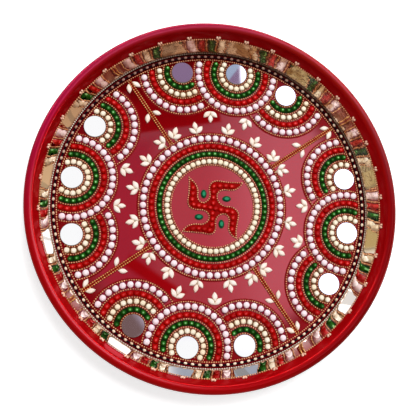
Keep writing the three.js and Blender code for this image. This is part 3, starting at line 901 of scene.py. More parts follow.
def named(tree, label, kind):
    """An attribute of the points, by its name."""
    made = node(tree, "GeometryNodeInputNamedAttribute", data_type=kind)
    made.inputs["Name"].default_value = label
    return made.outputs["Attribute"]


def random_value(tree, low, high, seed, step=0):
    """A random number on each point, between two numbers or sockets."""
    made = node(tree, "FunctionNodeRandomValue", data_type="FLOAT")
    feed(tree, low, made.inputs[RANDOM_LOW])
    feed(tree, high, made.inputs[RANDOM_HIGH])
    feed(tree, maths(tree, "ADD", seed, step), made.inputs["Seed"])
    return made.outputs[RANDOM_RESULT]


def as_rotation(tree, angles):
    made = node(tree, "FunctionNodeEulerToRotation")
    feed(tree, angles, made.inputs[0])
    return made.outputs[0]


def copied(tree, points, piece, rotation, scale):
    """The piece on every point."""
    shape = node(tree, "GeometryNodeObjectInfo")
    feed(tree, piece, shape.inputs["Object"])
    made = node(tree, "GeometryNodeInstanceOnPoints")
    feed(tree, points, made.inputs["Points"])
    feed(tree, shape.outputs["Geometry"], made.inputs["Instance"])
    feed(tree, rotation, made.inputs["Rotation"])
    feed(tree, scale, made.inputs["Scale"])
    return made.outputs[0]


def piped(tree, curve, radius, sides):
    """A curve as a pipe. Returns the node, so that its caps can be set."""
    section = node(tree, "GeometryNodeCurvePrimitiveCircle")
    section.inputs["Resolution"].default_value = sides
    feed(tree, radius, section.inputs["Radius"])
    made = node(tree, "GeometryNodeCurveToMesh")
    feed(tree, curve, made.inputs["Curve"])
    feed(tree, section.outputs[0], made.inputs["Profile Curve"])
    return made


def painted(tree, shape, material, out):
    made = node(tree, "GeometryNodeSetMaterial")
    feed(tree, shape, made.inputs["Geometry"])
    feed(tree, material, made.inputs["Material"])
    feed(tree, made.outputs[0], out)


def finished(tree, instances, given, out, core=None):
    """Gives every copy its tone, makes it real and sets its finish."""
    store = node(tree, "GeometryNodeStoreNamedAttribute", data_type="FLOAT", domain="INSTANCE")
    store.inputs["Name"].default_value = "tone"
    feed(tree, instances, store.inputs["Geometry"])
    feed(tree, random_value(tree, DARKEST_TONE, 1.0, given["Seed"], TONE_STEP), store.inputs["Value"])
    whole = store.outputs[0]
    if core:
        merged = node(tree, "GeometryNodeJoinGeometry")
        for shape in (whole, core):
            feed(tree, shape, merged.inputs[0])
        whole = merged.outputs[0]
    real = node(tree, "GeometryNodeRealizeInstances")
    feed(tree, whole, real.inputs[0])
    painted(tree, real.outputs[0], given["Material"], out)


# %% Geometry Nodes tree: pieces along a path
def string_tree(name, wired):
    tree, given, out = new_tree(
        name, Piece="Object", Pitch="Float", Size_Spread="Float", Turn_Spread="Float",
        Wire_Radius="Float", Seed="Int", Material="Material",
    )
    path = node(tree, "GeometryNodeMeshToCurve")
    feed(tree, given["Geometry"], path.inputs[0])
    even = node(tree, "GeometryNodeResampleCurve", mode="LENGTH")
    feed(tree, path.outputs[0], even.inputs["Curve"])
    feed(tree, given["Pitch"], even.inputs["Length"])
    ahead = node(tree, "FunctionNodeAlignRotationToVector", axis="X", pivot_axis="Z")
    feed(tree, node(tree, "GeometryNodeInputTangent").outputs[0], ahead.inputs["Vector"])
    swing = given["Turn Spread"]
    swing = random_value(tree, maths(tree, "MULTIPLY", swing, -1), swing, given["Seed"], SWING_STEP)
    angles = node(tree, "ShaderNodeCombineXYZ")
    feed(tree, swing, angles.inputs["Z"])
    swung = node(tree, "FunctionNodeRotateRotation", rotation_space="LOCAL")
    feed(tree, ahead.outputs[0], swung.inputs["Rotation"])
    feed(tree, as_rotation(tree, angles.outputs[0]), swung.inputs["Rotate By"])
    size = random_value(tree, maths(tree, "SUBTRACT", 1, given["Size Spread"]), 1.0, given["Seed"])
    instances = copied(tree, even.outputs[0], given["Piece"], swung.outputs[0], size)
    core = None
    if wired:
        wire = piped(tree, path.outputs[0], given["Wire Radius"], WIRE_SIDES)
        wire.inputs["Fill Caps"].default_value = True
        core = wire.outputs[0]
    finished(tree, instances, given, out, core)
    return tree


# %% Geometry Nodes tree: pieces at marked points
def placed_tree():
    tree, given, out = new_tree("pieces at points", Piece="Object", Seed="Int", Material="Material")
    turned_to = as_rotation(tree, named(tree, "turn", "FLOAT_VECTOR"))
    size = named(tree, "size", "FLOAT_VECTOR")
    instances = copied(tree, given["Geometry"], given["Piece"], turned_to, size)
    finished(tree, instances, given, out)
    return tree


plain_string = string_tree("string", False)
wired_string = string_tree("wired string", True)
at_points = placed_tree()
print("trees:", {tree.name: len(tree.nodes) for tree in (plain_string, wired_string, at_points)})


# %% Helpers that run a tree and keep its mesh
def grow(carrier, tree, **values):
    """Runs a tree on the carrier and swaps the carrier's mesh for the result."""
    modifier = carrier.modifiers.new("grow", "NODES")
    modifier.node_group = tree
    for label, value in values.items():
        modifier[tree.interface.items_tree[label.replace("_", " ")].identifier] = value
    graph = bpy.context.evaluated_depsgraph_get()
    evaluated = carrier.evaluated_get(graph)
    mesh = bpy.data.meshes.new_from_object(evaluated, preserve_all_data_layers=True, depsgraph=graph)
    carrier.modifiers.clear()
    mesh.name = carrier.name
    carrier.data = mesh
    return carrier


def paths_object(name, paths):
    """Open or closed runs of points as one mesh of edges. A path is (points, closed)."""
    points, edges = [], []
    for run, closed in paths:
        first = len(points)
        points += run
        edges += [(first + i, first + i + 1) for i in range(len(run) - 1)]
        if closed:
            edges.append((len(points) - 1, first))
    return mesh_object(name, points, edges=edges)


def points_object(name, marks):
    """Marked points: each is a place, three turns and three sizes."""
    made = mesh_object(name, [place for place, _, _ in marks])
    for label, column in (("turn", 1), ("size", 2)):
        layer = made.data.attributes.new(label, "FLOAT_VECTOR", "POINT")
        for item, mark in zip(layer.data, marks):
            item.vector = mark[column]
    return made


def polar(r, angle, centre=(0.0, 0.0)):
    return centre[0] + r * math.cos(angle), centre[1] + r * math.sin(angle)


def ring_path(r, z, steps=180):
    return [(*polar(r, 2 * math.pi * i / steps), z) for i in range(steps)], True


# %% Helper for ball chains
BALL_R = BALL_D / 2
CHAIN_PITCH = 1.92 * MM
CHAIN_WIRE_R = 0.3 * MM
BALL_SIZE_SPREAD, ANY_TURN = 0.08, 3.0


def chain(name, paths, seed, gilt=chain_gold):
    return grow(
        paths_object(name, paths), wired_string, Piece=chain_ball, Pitch=CHAIN_PITCH,
        Size_Spread=BALL_SIZE_SPREAD, Turn_Spread=ANY_TURN, Wire_Radius=CHAIN_WIRE_R, Seed=seed,
        Material=gilt,
    )


# %% [markdown]
# ## Chains of the floor edge and the wall
# A black cord lies in the corner between floor and wall. A ball chain runs on each side of it, and
# one more along the top of the bare steel band. Each is a closed ring, so a ring path is enough.

# %% Rings of chain
GAP = 0.3 * MM
CHAIN_W = 1.1 * MM
CORD_W = 2.9 * MM
RING_STEPS = 360
cord_out = FLOOR_R - BEND_R * bend_share - GAP
cord_r = cord_out - CORD_W / 2
edge_chain_r = cord_out - CORD_W - GAP - CHAIN_W / 2
usable_r = edge_chain_r - CHAIN_W / 2 - GAP
floor_edge = (edge_chain_r, SHEET + BALL_R)
wall_foot = on_wall(FOOT_CHAIN_RISE, 0, BALL_R)
wall_top = on_wall(WALL_CHAIN_RISE, 0, BALL_R)
for name, place, seed, gilt, node_name in (
    ("floor_edge_chain_beads", floor_edge, 11, chain_gold, "floor_edge_chain"),
    ("wall_foot_chain_beads", wall_foot, 12, foot_gilt, "wall_foot_chain"),
    ("wall_chain_beads", wall_top, 13, chain_gold, "wall_chain_with_picots"),
):
    hand_over(chain(name, [ring_path(*place, RING_STEPS)], seed, gilt), "ball_chain", node_name)

# %% [markdown]
# ## Picots
# Groups of three beads stand on the upper chain, a small one below and two side by side. They are
# few and each has its own place on the leaning wall, so they are set at marked points. In the
# photograph their spacing wanders a little, and so does the angle here.

# %% Picots
PICOT_COUNT = 36
PICOT_FIRST = math.radians(2.6)
PICOT_WANDER = math.radians(2.1)
PICOT_BEAD = 2.0 * MM
PICOT_PLACES = [
    # sideways, up the wall, share of a bead
    (0.0, 1.3 * MM, 0.85), (-1.05 * MM, 2.75 * MM, 1.0), (1.05 * MM, 2.75 * MM, 1.0),
]


def picot_marks():
    marks = []
    for i in range(PICOT_COUNT):
        even = 2 * math.pi * i / PICOT_COUNT
        angle = PICOT_FIRST + even - PICOT_WANDER * (1 - math.cos(2 * even))
        for sideways, along, share in PICOT_PLACES:
            r, z = on_wall(WALL_CHAIN_RISE, along, PICOT_BEAD * share / 2)
            x = r * math.cos(angle) - sideways * math.sin(angle)
            y = r * math.sin(angle) + sideways * math.cos(angle)
            marks.append(((x, y, z), (0, 0, angle), [PICOT_BEAD * share] * 3))
    return marks


picots = points_object("wall_picot_beads", picot_marks())
picots = grow(picots, at_points, Piece=bead, Seed=14, Material=picot_gold)
hand_over(picots, "ball_chain", "wall_chain_with_picots")

# %% [markdown]
# ## Corner cord
# A cord is strands laid round each other, so its surface is a set of helixes. A bump on a plain
# pipe would look flat from the side. The tree below sends each strand round the ring at a steady
# lay and gives it a round section. The strands are pressed flat by the glue, which one scale on
# the height does.


# %% Geometry Nodes tree: twisted cord laid in a ring
def cord_tree():
    tree, given, out = new_tree(
        "twisted cord", Cord_Radius="Float", Strand_Radius="Float", Ring_Radius="Float", Twists="Float",
        Flatness="Float", Material="Material",
    )
    where = node(tree, "GeometryNodeSplineParameter").outputs["Factor"]
    round_ring = maths(tree, "MULTIPLY", where, 2 * math.pi)
    twist = maths(tree, "MULTIPLY_ADD", round_ring, given["Twists"], named(tree, "phase", "FLOAT"))
    lay = given["Cord Radius"]
    out_by = maths(tree, "MULTIPLY_ADD", maths(tree, "COSINE", twist), lay, given["Ring Radius"])
    spot = node(tree, "ShaderNodeCombineXYZ")
    feed(tree, maths(tree, "MULTIPLY", maths(tree, "COSINE", round_ring), out_by), spot.inputs["X"])
    feed(tree, maths(tree, "MULTIPLY", maths(tree, "SINE", round_ring), out_by), spot.inputs["Y"])
    feed(tree, maths(tree, "MULTIPLY", maths(tree, "SINE", twist), lay), spot.inputs["Z"])
    strand = node(tree, "GeometryNodeMeshToCurve")
    feed(tree, given["Geometry"], strand.inputs[0])
    laid = node(tree, "GeometryNodeSetPosition")
    feed(tree, strand.outputs[0], laid.inputs["Geometry"])
    feed(tree, spot.outputs[0], laid.inputs["Position"])
    squash = node(tree, "ShaderNodeCombineXYZ")
    for name, share in (("X", 1), ("Y", 1), ("Z", given["Flatness"])):
        feed(tree, share, squash.inputs[name])
    pressed = node(tree, "GeometryNodeTransform")
    strands = piped(tree, laid.outputs[0], given["Strand Radius"], STRAND_SIDES)
    feed(tree, strands.outputs[0], pressed.inputs["Geometry"])
    feed(tree, squash.outputs[0], pressed.inputs["Scale"])
    smooth = node(tree, "GeometryNodeSetShadeSmooth")
    feed(tree, pressed.outputs[0], smooth.inputs["Geometry"])
    painted(tree, smooth.outputs[0], given["Material"], out)
    return tree


# %% Corner cord
STRANDS = 3
CORD_TWISTS = 150
STRAND_R = 0.66 * MM
LAY_R = 0.5 * MM
CORD_OUT = 0.3 * MM
CORD_FLATNESS = 0.5
CORD_SAMPLES = 8


def strand_rings():
    """One unit ring for each strand, with the phase of its twist."""
    made = paths_object("corner_cord", [ring_path(1.0, 0, CORD_TWISTS * CORD_SAMPLES)] * STRANDS)
    layer = made.data.attributes.new("phase", "FLOAT", "POINT")
    per_strand = len(layer.data) // STRANDS
    for i, item in enumerate(layer.data):
        item.value = 2 * math.pi * (i // per_strand) / STRANDS
    return made


cord = grow(
    strand_rings(), cord_tree(), Cord_Radius=LAY_R, Strand_Radius=STRAND_R, Ring_Radius=cord_r + CORD_OUT,
    Twists=float(CORD_TWISTS), Flatness=CORD_FLATNESS, Material=cord_black,
)
for vertex in cord.data.vertices:
    vertex.co.z += SHEET + CORD_W / 2 * CORD_FLATNESS
hand_over(cord, "black_cord", "black_corner_cord")

# %% [markdown]
# ## Beads on the cord
# Small gilt beads are sewn on the cord, longer along it than across. Their pitch is what the
# photograph shows along the near edge, and one mark each is enough.

# %% Corner beads
BEAD_D = 2.15 * MM
BEAD_L = 3.0 * MM
CORNER_BEADS = 142
FIRST_BEAD = 0.35
BEAD_SEAT = 0.72
bead_z = SHEET + CORD_W * CORD_FLATNESS * BEAD_SEAT + BEAD_D / 2
bead_marks = []
for i in range(CORNER_BEADS):
    angle = 2 * math.pi * (i + FIRST_BEAD) / CORNER_BEADS
    bead_marks.append(((*polar(cord_r, angle), bead_z), (0, 0, angle), (BEAD_D, BEAD_L, BEAD_D)))
corner = points_object("corner_gilt_beads", bead_marks)
corner = grow(corner, at_points, Piece=bead, Seed=15, Material=bead_silver)
hand_over(corner, "corner_beads", "corner_bead_string")

# %% [markdown]
# ## Medallion
# The medallion and the arches use the same five kinds of string, laid next to each other with a
# ball chain between. Their radii follow from the widths, as in the CAD, so a list of kinds is
# enough to place a whole medallion or arch. Stones sit on a strip of tape, which is a ribbon
# swept along the same path in mesh code, because it needs flat sides and clean ends.

# %% Widths, pitches and radii
WIDTH = {"chain": CHAIN_W, "kundan": 4.6 * MM, "green": 4.7 * MM, "red": 4.8 * MM, "pearl": 5.6 * MM}
PITCH = {"kundan": 4.76 * MM, "green": 4.82 * MM, "red": 5.3 * MM}
STONE = {"kundan": kundan_stone, "green": green_stone, "red": red_stone}
GLAZE = {"kundan": kundan_cream, "green": green_foil, "red": red_foil}
TAPE = {"kundan": tapes["brown"], "green": tapes["green"], "red": tapes["red"], "pearl": tapes["plum"]}
SLOT = {"kundan": "kundan_stones", "green": "green_stones", "red": "red_stones", "pearl": "half_pearls"}
TAPE_H = 0.4 * MM
# Sizes of the red glue line outside the outer chains, partly a painted shadow of the chain.
GLUE_W, GLUE_H, GLUE_OUT = 2.2 * MM, 0.3 * MM, 0.5 * MM
PEARL_PITCH = 6.24 * MM
MEDALLION_BORE_R = 34.15 * MM
FIVE_KINDS = ["chain", "kundan", "chain", "green", "chain", "red", "chain", "pearl", "chain"]


def string_radii(start, kinds):
    edge, placed = start, []
    for kind in kinds:
        placed.append((kind, edge + WIDTH[kind] / 2))
        edge += WIDTH[kind] + GAP
    return placed


medallion_strings = string_radii(MEDALLION_BORE_R, FIVE_KINDS)
medallion_edge = medallion_strings[-1][1] + CHAIN_W / 2
print("medallion radii, mm:", [round(r / MM, 2) for _, r in medallion_strings])

# %% Tape under the stones
TAPE_SECTION = [(-0.5, 0.0), (-0.5, 0.7), (-0.25, 1.0), (0.25, 1.0), (0.5, 0.7), (0.5, 0.0)]


def tape(name, paths, width, material, height=TAPE_H):
    """A flat ribbon with a low crown along paths on the floor."""
    points, faces, sides = [], [], len(TAPE_SECTION)
    for run, closed in paths:
        first, count = len(points), len(run)
        for i, (x, y, _) in enumerate(run):
            before = run[i - 1] if i or closed else run[0]
            after = run[(i + 1) % count] if i < count - 1 or closed else run[-1]
            ahead = Vector((after[0] - before[0], after[1] - before[1])).normalized()
            for sideways, up in TAPE_SECTION:
                shift = sideways * width
                points.append((x + ahead.y * shift, y - ahead.x * shift, SHEET + up * height))
        for i in range(count if closed else count - 1):
            a, b = first + i * sides, first + (i + 1) % count * sides
            faces += [(a + k, a + (k + 1) % sides, b + (k + 1) % sides, b + k) for k in range(sides)]
        if not closed:
            faces.append(tuple(range(first, first + sides))[::-1])
            faces.append(tuple(range(first + (count - 1) * sides, first + count * sides)))
    made = mesh_object(name, points, faces)
    made.data.materials.append(material)
    return made


# %% Stones and pearls on a tape
STONE_SIZE_SPREAD, STONE_TURN_SPREAD = 0.06, 0.08


def stones(name, kind, paths, seed):
    return grow(
        paths_object(name, paths), plain_string, Piece=STONE[kind], Pitch=PITCH[kind],
        Size_Spread=STONE_SIZE_SPREAD, Turn_Spread=STONE_TURN_SPREAD, Seed=seed, Material=GLAZE[kind],
    )


def pearls(name, marks, seed):
    return grow(points_object(name, marks), at_points, Piece=half_pearl, Seed=seed, Material=pearl_pink)


def pearl_mark(x, y, turn_z):
    return (x, y, SHEET + TAPE_H), (0, 0, turn_z), (1, 1, 1)


# %% Medallion rings
EDGE_NODE = "medallion_edge_chain_with_flowers"
CHAINS = FIVE_KINDS.count("chain")
chain_count = 0
for kind, r in medallion_strings:
    if kind == "chain":
        chain_count += 1
        node_name = EDGE_NODE if chain_count == CHAINS else f"medallion_chain_{chain_count}"
        path = [ring_path(r, SHEET + BALL_R)]
        ring = chain(f"medallion_chain_beads_{chain_count}", path, 20 + chain_count)
        hand_over(ring, "ball_chain", node_name)
        continue
    node_name = f"medallion_{kind}_ring"
    bed = tape(f"medallion_{kind}_tape", [ring_path(r, SHEET)], WIDTH[kind], TAPE[kind])
    hand_over(bed, SLOT[kind], node_name)
    if kind == "pearl":
        count = round(2 * math.pi * r / PEARL_PITCH)
        angles = [2 * math.pi * i / count for i in range(count)]
        marks = [pearl_mark(*polar(r, angle), angle) for angle in angles]
        ring = pearls("medallion_half_pearls", marks, 30)
    else:
        path = [ring_path(r, SHEET + TAPE_H / 2)]
        ring = stones(f"medallion_{kind}_stones", kind, path, 31 + chain_count)
    hand_over(ring, SLOT[kind], node_name)
# The glue line outside the medallion, partly a painted shadow of its edge chain.
glue_path_r = medallion_strings[-1][1] + GLUE_OUT
edge_glue_and_shadow = tape("medallion_edge_glue", [ring_path(glue_path_r, SHEET)], GLUE_W, red_glue_and_shadow, GLUE_H)
hand_over(edge_glue_and_shadow, "ball_chain", EDGE_NODE)

# %% [markdown]
# ## Flowers round the medallion
# The petals are marquise stones: long, pointed at both ends, with a ridge. Each flower could be
# modelled once and copied, but glued petals are never alike. So one cut stone is set at many
# marked points, each with its own small turn and size. The marks repeat the CAD's rule, so the
# petals stand where its solids stand.

# %% Marks for petals
PETAL_W = 4.3 * MM
MID_PETAL_L = 7.6 * MM
SIDE_PETAL_L = 8.2 * MM
MID_PETAL_OUT = 4.6 * MM
SIDE_PETAL_AT = (2.9 * MM, 0.7 * MM)
SIDE_PETAL_TURN = math.radians(46)
QUARTER = math.pi / 2
PETAL_TURNS, PETAL_TIPS = (-4, 4), (-3, 3)
PETAL_SHARES = (0.94, 1.04)
unsteady = random.Random(7)


def almond_mark(x, y, turn_z, length, width):
    turn_z += math.radians(unsteady.uniform(*PETAL_TURNS))
    share = unsteady.uniform(*PETAL_SHARES)
    tip = math.radians(unsteady.uniform(*PETAL_TIPS))
    return (x, y, SHEET), (tip, 0, turn_z), (width * share, length * share, 1)


def flower_marks(hub, towards):
    """Three petals that grow from the hub in a direction."""
    c, s = math.cos(towards - QUARTER), math.sin(towards - QUARTER)
    marks = []
    rows = [(0.0, MID_PETAL_OUT, 0.0, MID_PETAL_L)]
    for side in (1, -1):
        rows.append((side * SIDE_PETAL_AT[0], SIDE_PETAL_AT[1], -side * SIDE_PETAL_TURN, SIDE_PETAL_L))
    for x, y, turned_by, length in rows:
        place = (hub[0] + c * x - s * y, hub[1] + s * x + c * y)
        marks.append(almond_mark(*place, towards - QUARTER + turned_by, length, PETAL_W))
    return marks


def beside(r, angle, offset):
    """A place at a distance along a ray from the axis, and from there off to its left."""
    x, y = polar(r, angle)
    return x - offset * math.sin(angle), y + offset * math.cos(angle)


def glue_path(from_r, to_r, angle, offset=0.0):
    return [(*beside(r, angle, offset), 0) for r in (from_r, to_r)], False


def almonds(name, marks, seed):
    return grow(points_object(name, marks), at_points, Piece=marquise, Seed=seed, Material=petal_cream)


# %% Flowers round the medallion
FIRST_SPOKE = math.radians(33.4)
SPOKE_ANGLES = [FIRST_SPOKE + QUARTER * quarter for quarter in range(4)]
FLOWER_TURNS = [math.radians(value) for value in (22.4, 44.6, 68.3)]
FLOWER_SPACE = 3.1 * MM
FLANK_SPACE = 4.7 * MM
FLANK_OFFSET = 5.4 * MM
FLANK_TURN = math.radians(50)
PAD_REACH, PAD_W, PAD_H = 1.6 * MM, 1.8 * MM, 0.35 * MM
petal_marks, pads = [], []
for spoke_angle in SPOKE_ANGLES:
    hub_r = medallion_edge + FLOWER_SPACE
    for flower_turn in FLOWER_TURNS:
        angle = spoke_angle + flower_turn
        petal_marks += flower_marks(polar(hub_r, angle), angle)
        pads.append(glue_path(medallion_edge, hub_r + PAD_REACH, angle))
    flank_r = medallion_edge + FLANK_SPACE
    for side in (-1, 1):
        hub = beside(flank_r, spoke_angle, side * FLANK_OFFSET)
        petal_marks += flower_marks(hub, spoke_angle + side * FLANK_TURN)
        pads.append(glue_path(medallion_edge, flank_r + PAD_REACH, spoke_angle, side * FLANK_OFFSET))
for made in (
    almonds("medallion_flower_petals", petal_marks, 41),
    tape("medallion_flower_glue", pads, PAD_W, dried_glue, PAD_H),
):
    hand_over(made, "petal_stones", EDGE_NODE)

# %% [markdown]
# ## Spokes
# Four spokes run from the medallion to the floor's edge. Each is two ball chains side by side on a
# strip of red glue, with two pairs of leaves. Two straight paths make the twin chain, so it is
# built by the same tree as the rings.

# %% Spokes
TWIN_SPACING = 2.1 * MM
TWIN_LIFT = 0.15 * MM
SPOKE_BED_W, SPOKE_BED_H = 3.5 * MM, 0.3 * MM
LEAF_L, LEAF_W = 8.2 * MM, 4.1 * MM
LEAF_ROOT_X = 1.8 * MM
LEAF_ROWS = [(medallion_edge + 32.2 * MM, math.radians(42)), (usable_r - 1.7 * MM, math.radians(26))]
twin_ends = (medallion_edge + GAP + BALL_R, usable_r - BALL_R)
for index, spoke_angle in enumerate(SPOKE_ANGLES):
    node_name = f"spoke_{index + 1}"
    c, s = math.cos(spoke_angle), math.sin(spoke_angle)
    runs = []
    for side in (-1, 1):
        shift = side * TWIN_SPACING / 2
        ends = [(r * c - shift * s, r * s + shift * c, SHEET + BALL_R + TWIN_LIFT) for r in twin_ends]
        runs.append((ends, False))
    hand_over(chain(f"spoke_twin_chain_{index + 1}", runs, 50 + index, spoke_gold), "ball_chain", node_name)
    bed = [glue_path(medallion_edge + GAP, usable_r, spoke_angle)]
    bed = tape(f"spoke_bed_{index + 1}", bed, SPOKE_BED_W, tapes["spoke"], SPOKE_BED_H)
    hand_over(bed, "ball_chain", node_name)
    marks = []
    for root_r, leaf_turn in LEAF_ROWS:
        for side in (-1, 1):
            reach_x, reach_y = polar(LEAF_L / 2, math.pi - side * leaf_turn)
            x, y = root_r + reach_x, side * LEAF_ROOT_X + reach_y
            turn_z = spoke_angle + QUARTER - side * leaf_turn
            marks.append(almond_mark(x * c - y * s, x * s + y * c, turn_z, LEAF_L, LEAF_W))
    hand_over(almonds(f"spoke_leaves_{index + 1}", marks, 60 + index), "petal_stones", node_name)

# %% [markdown]
# ## Arches
# Twelve arches stand in four groups of three. Each is a set of strings round a small mirror, cut
# off where it meets the floor's edge, and a side arch stops at the middle one. Full rings could be
# cut with booleans, which would slice stones. Instead the run of a string starts at the arch's
# crown and walks both ways for as long as the spot is free, so every stone stays whole.

# %% Arch runs
SWAPPED_KINDS = ["chain", "green", "chain", "kundan", "chain", "red", "chain", "pearl", "chain"]
MOUTH_W = 13 * MM
MIRROR_R = 9 * MM
RUN_STEP = math.radians(1.0)
mirror_seat = MIRROR_R + GAP
arch_edge = string_radii(mirror_seat, FIVE_KINDS)[-1][1] + CHAIN_W / 2
print("an arch reaches", round(arch_edge / MM, 1), "mm from its mirror's centre")


def mirror_centre(name):
    low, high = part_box(name)
    return (low[0] + high[0]) / 2, (low[1] + high[1]) / 2


def arch_run(centre, middle, r, margin, height):
    """The free part of a circle round a mirror, as an open path."""
    inward = math.atan2(-centre[1], -centre[0])

    def free(turned_by):
        x, y = polar(r, inward + turned_by, centre)
        if math.hypot(x, y) > usable_r - margin:
            return False
        if abs(turned_by) > QUARTER and r * abs(math.sin(turned_by)) < MOUTH_W / 2 + margin:
            return False
        return middle is None or math.dist((x, y), middle) > arch_edge + GAP + margin

    sides = []
    for direction in (-1, 1):
        steps = 0
        while steps * RUN_STEP < math.pi and free(direction * (steps + 1) * RUN_STEP):
            steps += 1
        sides.append(steps)
    turns = [RUN_STEP * i for i in range(-sides[0], sides[1] + 1)]
    return [(*polar(r, inward + turned_by, centre), height) for turned_by in turns], False


# %% Arch pearls
MIDDLE_PEARL_PITCH = 5.83 * MM
PEARLS_PAST = 1.2 * MM
PEARL_R = 2.55 * MM


def arch_pearls(centre, middle, r):
    inward = math.atan2(-centre[1], -centre[0])
    end = QUARTER + math.asin(PEARLS_PAST / r)
    pitch = PEARL_PITCH if middle else MIDDLE_PEARL_PITCH
    count = round(2 * end * r / pitch)
    turns = [end - 2 * end * i / count for i in range(count + 1)]
    if middle:
        side = 1 if (centre[0] * middle[1] - centre[1] * middle[0]) < 0 else -1
        turns = [-side * value for value in turns]
    marks = []
    for turned_by in turns:
        x, y = polar(r, inward + turned_by, centre)
        if not middle or math.dist((x, y), middle) > arch_edge + GAP + PEARL_R:
            marks.append(pearl_mark(x, y, inward + turned_by))
    return marks


# %% Build the four groups
STONE_HALF = 2.3 * MM
TAPE_MARGIN = 0.8 * MM
PARTS = ("middle", "first", "last")
GROUPS = {"top": SWAPPED_KINDS, "left": FIVE_KINDS, "bottom": SWAPPED_KINDS, "right": FIVE_KINDS}
for number, (group, side_kinds) in enumerate(GROUPS.items()):
    places = {part: mirror_centre(f"{group}_{part}_mirror") for part in PARTS}
    nodes = [f"{group}_{part}_arch" for part in PARTS]
    stone_runs = {kind: [] for kind in WIDTH}
    tape_runs = {kind: [] for kind in WIDTH}
    group_pearls, glue_and_shadow_runs = [], []
    for part, centre in places.items():
        middle = None if part == "middle" else places["middle"]
        for kind, r in string_radii(mirror_seat, side_kinds if middle else FIVE_KINDS):
            if kind == "chain":
                stone_runs[kind].append(arch_run(centre, middle, r, BALL_R, SHEET + BALL_R))
                # Outside the outer chain, a glue line that is partly a painted shadow of the chain.
                if r > arch_edge - CHAIN_W:
                    glue_and_shadow_runs.append(arch_run(centre, middle, r + GLUE_OUT, BALL_R, SHEET))
                continue
            tape_runs[kind].append(arch_run(centre, middle, r, WIDTH[kind] / 2 - TAPE_MARGIN, SHEET))
            if kind == "pearl":
                group_pearls += arch_pearls(centre, middle, r)
            else:
                stone_runs[kind].append(arch_run(centre, middle, r, STONE_HALF, SHEET + TAPE_H / 2))
    hand_over(chain(f"{group}_arch_chains", stone_runs["chain"], 70 + number), "ball_chain", *nodes)
    # The glue lines, partly a painted shadow of the outer chains.
    hand_over(tape(f"{group}_arch_edge_glue", glue_and_shadow_runs, GLUE_W, red_glue_and_shadow, GLUE_H), "ball_chain", *nodes)
    for kind, material in TAPE.items():
        if kind == "pearl":
            row = pearls(f"{group}_arch_half_pearls", group_pearls, 90 + number)
        else:
            seed = 80 + 10 * number + len(kind)
            row = stones(f"{group}_arch_{kind}_stones", kind, stone_runs[kind], seed)
        hand_over(row, SLOT[kind], *nodes)
        bed = tape(f"{group}_arch_{kind}_tape", tape_runs[kind], WIDTH[kind], material)
        hand_over(bed, SLOT[kind], *nodes)

# %% [markdown]
# ## Notch flowers
# A flower of three petals fills each notch between two arches. The notch is where the two outer
# chains meet, which follows from the two mirrors' places, so nothing is measured twice.

# %% Notch flowers between the arches
NOTCH_FLOWER_SPACE = 6.6 * MM
for number, group in enumerate(GROUPS):
    marks, pads, nodes = [], [], []
    middle = mirror_centre(f"{group}_middle_mirror")
    for part in PARTS[1:]:
        side = mirror_centre(f"{group}_{part}_mirror")
        half_way = ((middle[0] + side[0]) / 2, (middle[1] + side[1]) / 2)
        half_span = math.dist(middle, side) / 2
        angle = math.atan2(half_way[1], half_way[0])
        hub_r = math.hypot(*half_way) - math.sqrt(arch_edge ** 2 - half_span ** 2) - NOTCH_FLOWER_SPACE
        marks += flower_marks(polar(hub_r, angle), angle + math.pi)
        pads.append(glue_path(hub_r - PAD_REACH, hub_r + PAD_REACH, angle))
        nodes.append(f"{group}_{part}_notch_flower")
    hand_over(almonds(f"{group}_notch_petals", marks, 100 + number), "petal_stones", *nodes)
    hand_over(tape(f"{group}_notch_glue", pads, PAD_W, dried_glue, PAD_H), "petal_stones", *nodes)

# %% [markdown]
# ## Mirrors
# The mirrors are small round glasses with a ground edge, turned like the plate. They are glued by
# hand, and a degree of lean decides what part of the room a mirror shows, so two of them lean.

# %% Mirrors
DEGREE = math.radians(1)
MIRROR_LEAN = {
    # about X and Y
    "left_first_mirror": (0.0, -0.9 * DEGREE), "left_middle_mirror": (0.2 * DEGREE, -0.3 * DEGREE),
}
MIRROR_STEPS = 64
GLASS, GROUND = 0, 1
MIRROR_OUTLINE = [
    # radius and height in millimetres, and the finish of the strip that follows
    (0.0, 0.0, GROUND), (9.0, 0.0, GROUND), (9.0, 1.1, GROUND), (8.75, 1.45, GLASS), (0.0, 1.45, GLASS),
]


def mirror(name, centre, lean):
    outline = [((r * MM, z * MM), slot) for r, z, slot in MIRROR_OUTLINE]
    made = turned(name, outline, MIRROR_STEPS, [mirror_glass, mirror_edge])
    tilt = Matrix.Rotation(lean[0], 4, "X") @ Matrix.Rotation(lean[1], 4, "Y")
    made.data.transform(Matrix.Translation((centre[0], centre[1], SHEET)) @ tilt)
    for polygon in made.data.polygons:
        polygon.use_smooth = False
    return made


for group in GROUPS:
    for part in PARTS:
        node_name = f"{group}_{part}_mirror"
        lean = MIRROR_LEAN.get(node_name, (0.0, 0.0))
        glass = mirror(f"{node_name}_glass", mirror_centre(node_name), lean)
        hand_over(glass, "mirror_glass", node_name)

# %% [markdown]
# ## Swastika
# The sign in the middle is a traditional one: a ball chain laid along its outline, two strings of
# red stones that cross inside it, and red glue between them. The outline was bent by hand, so it
# has no rule to follow, and it is given by points in millimetres with a smooth curve between them.
# The curve passes through every point and stays sharp at the four tips.

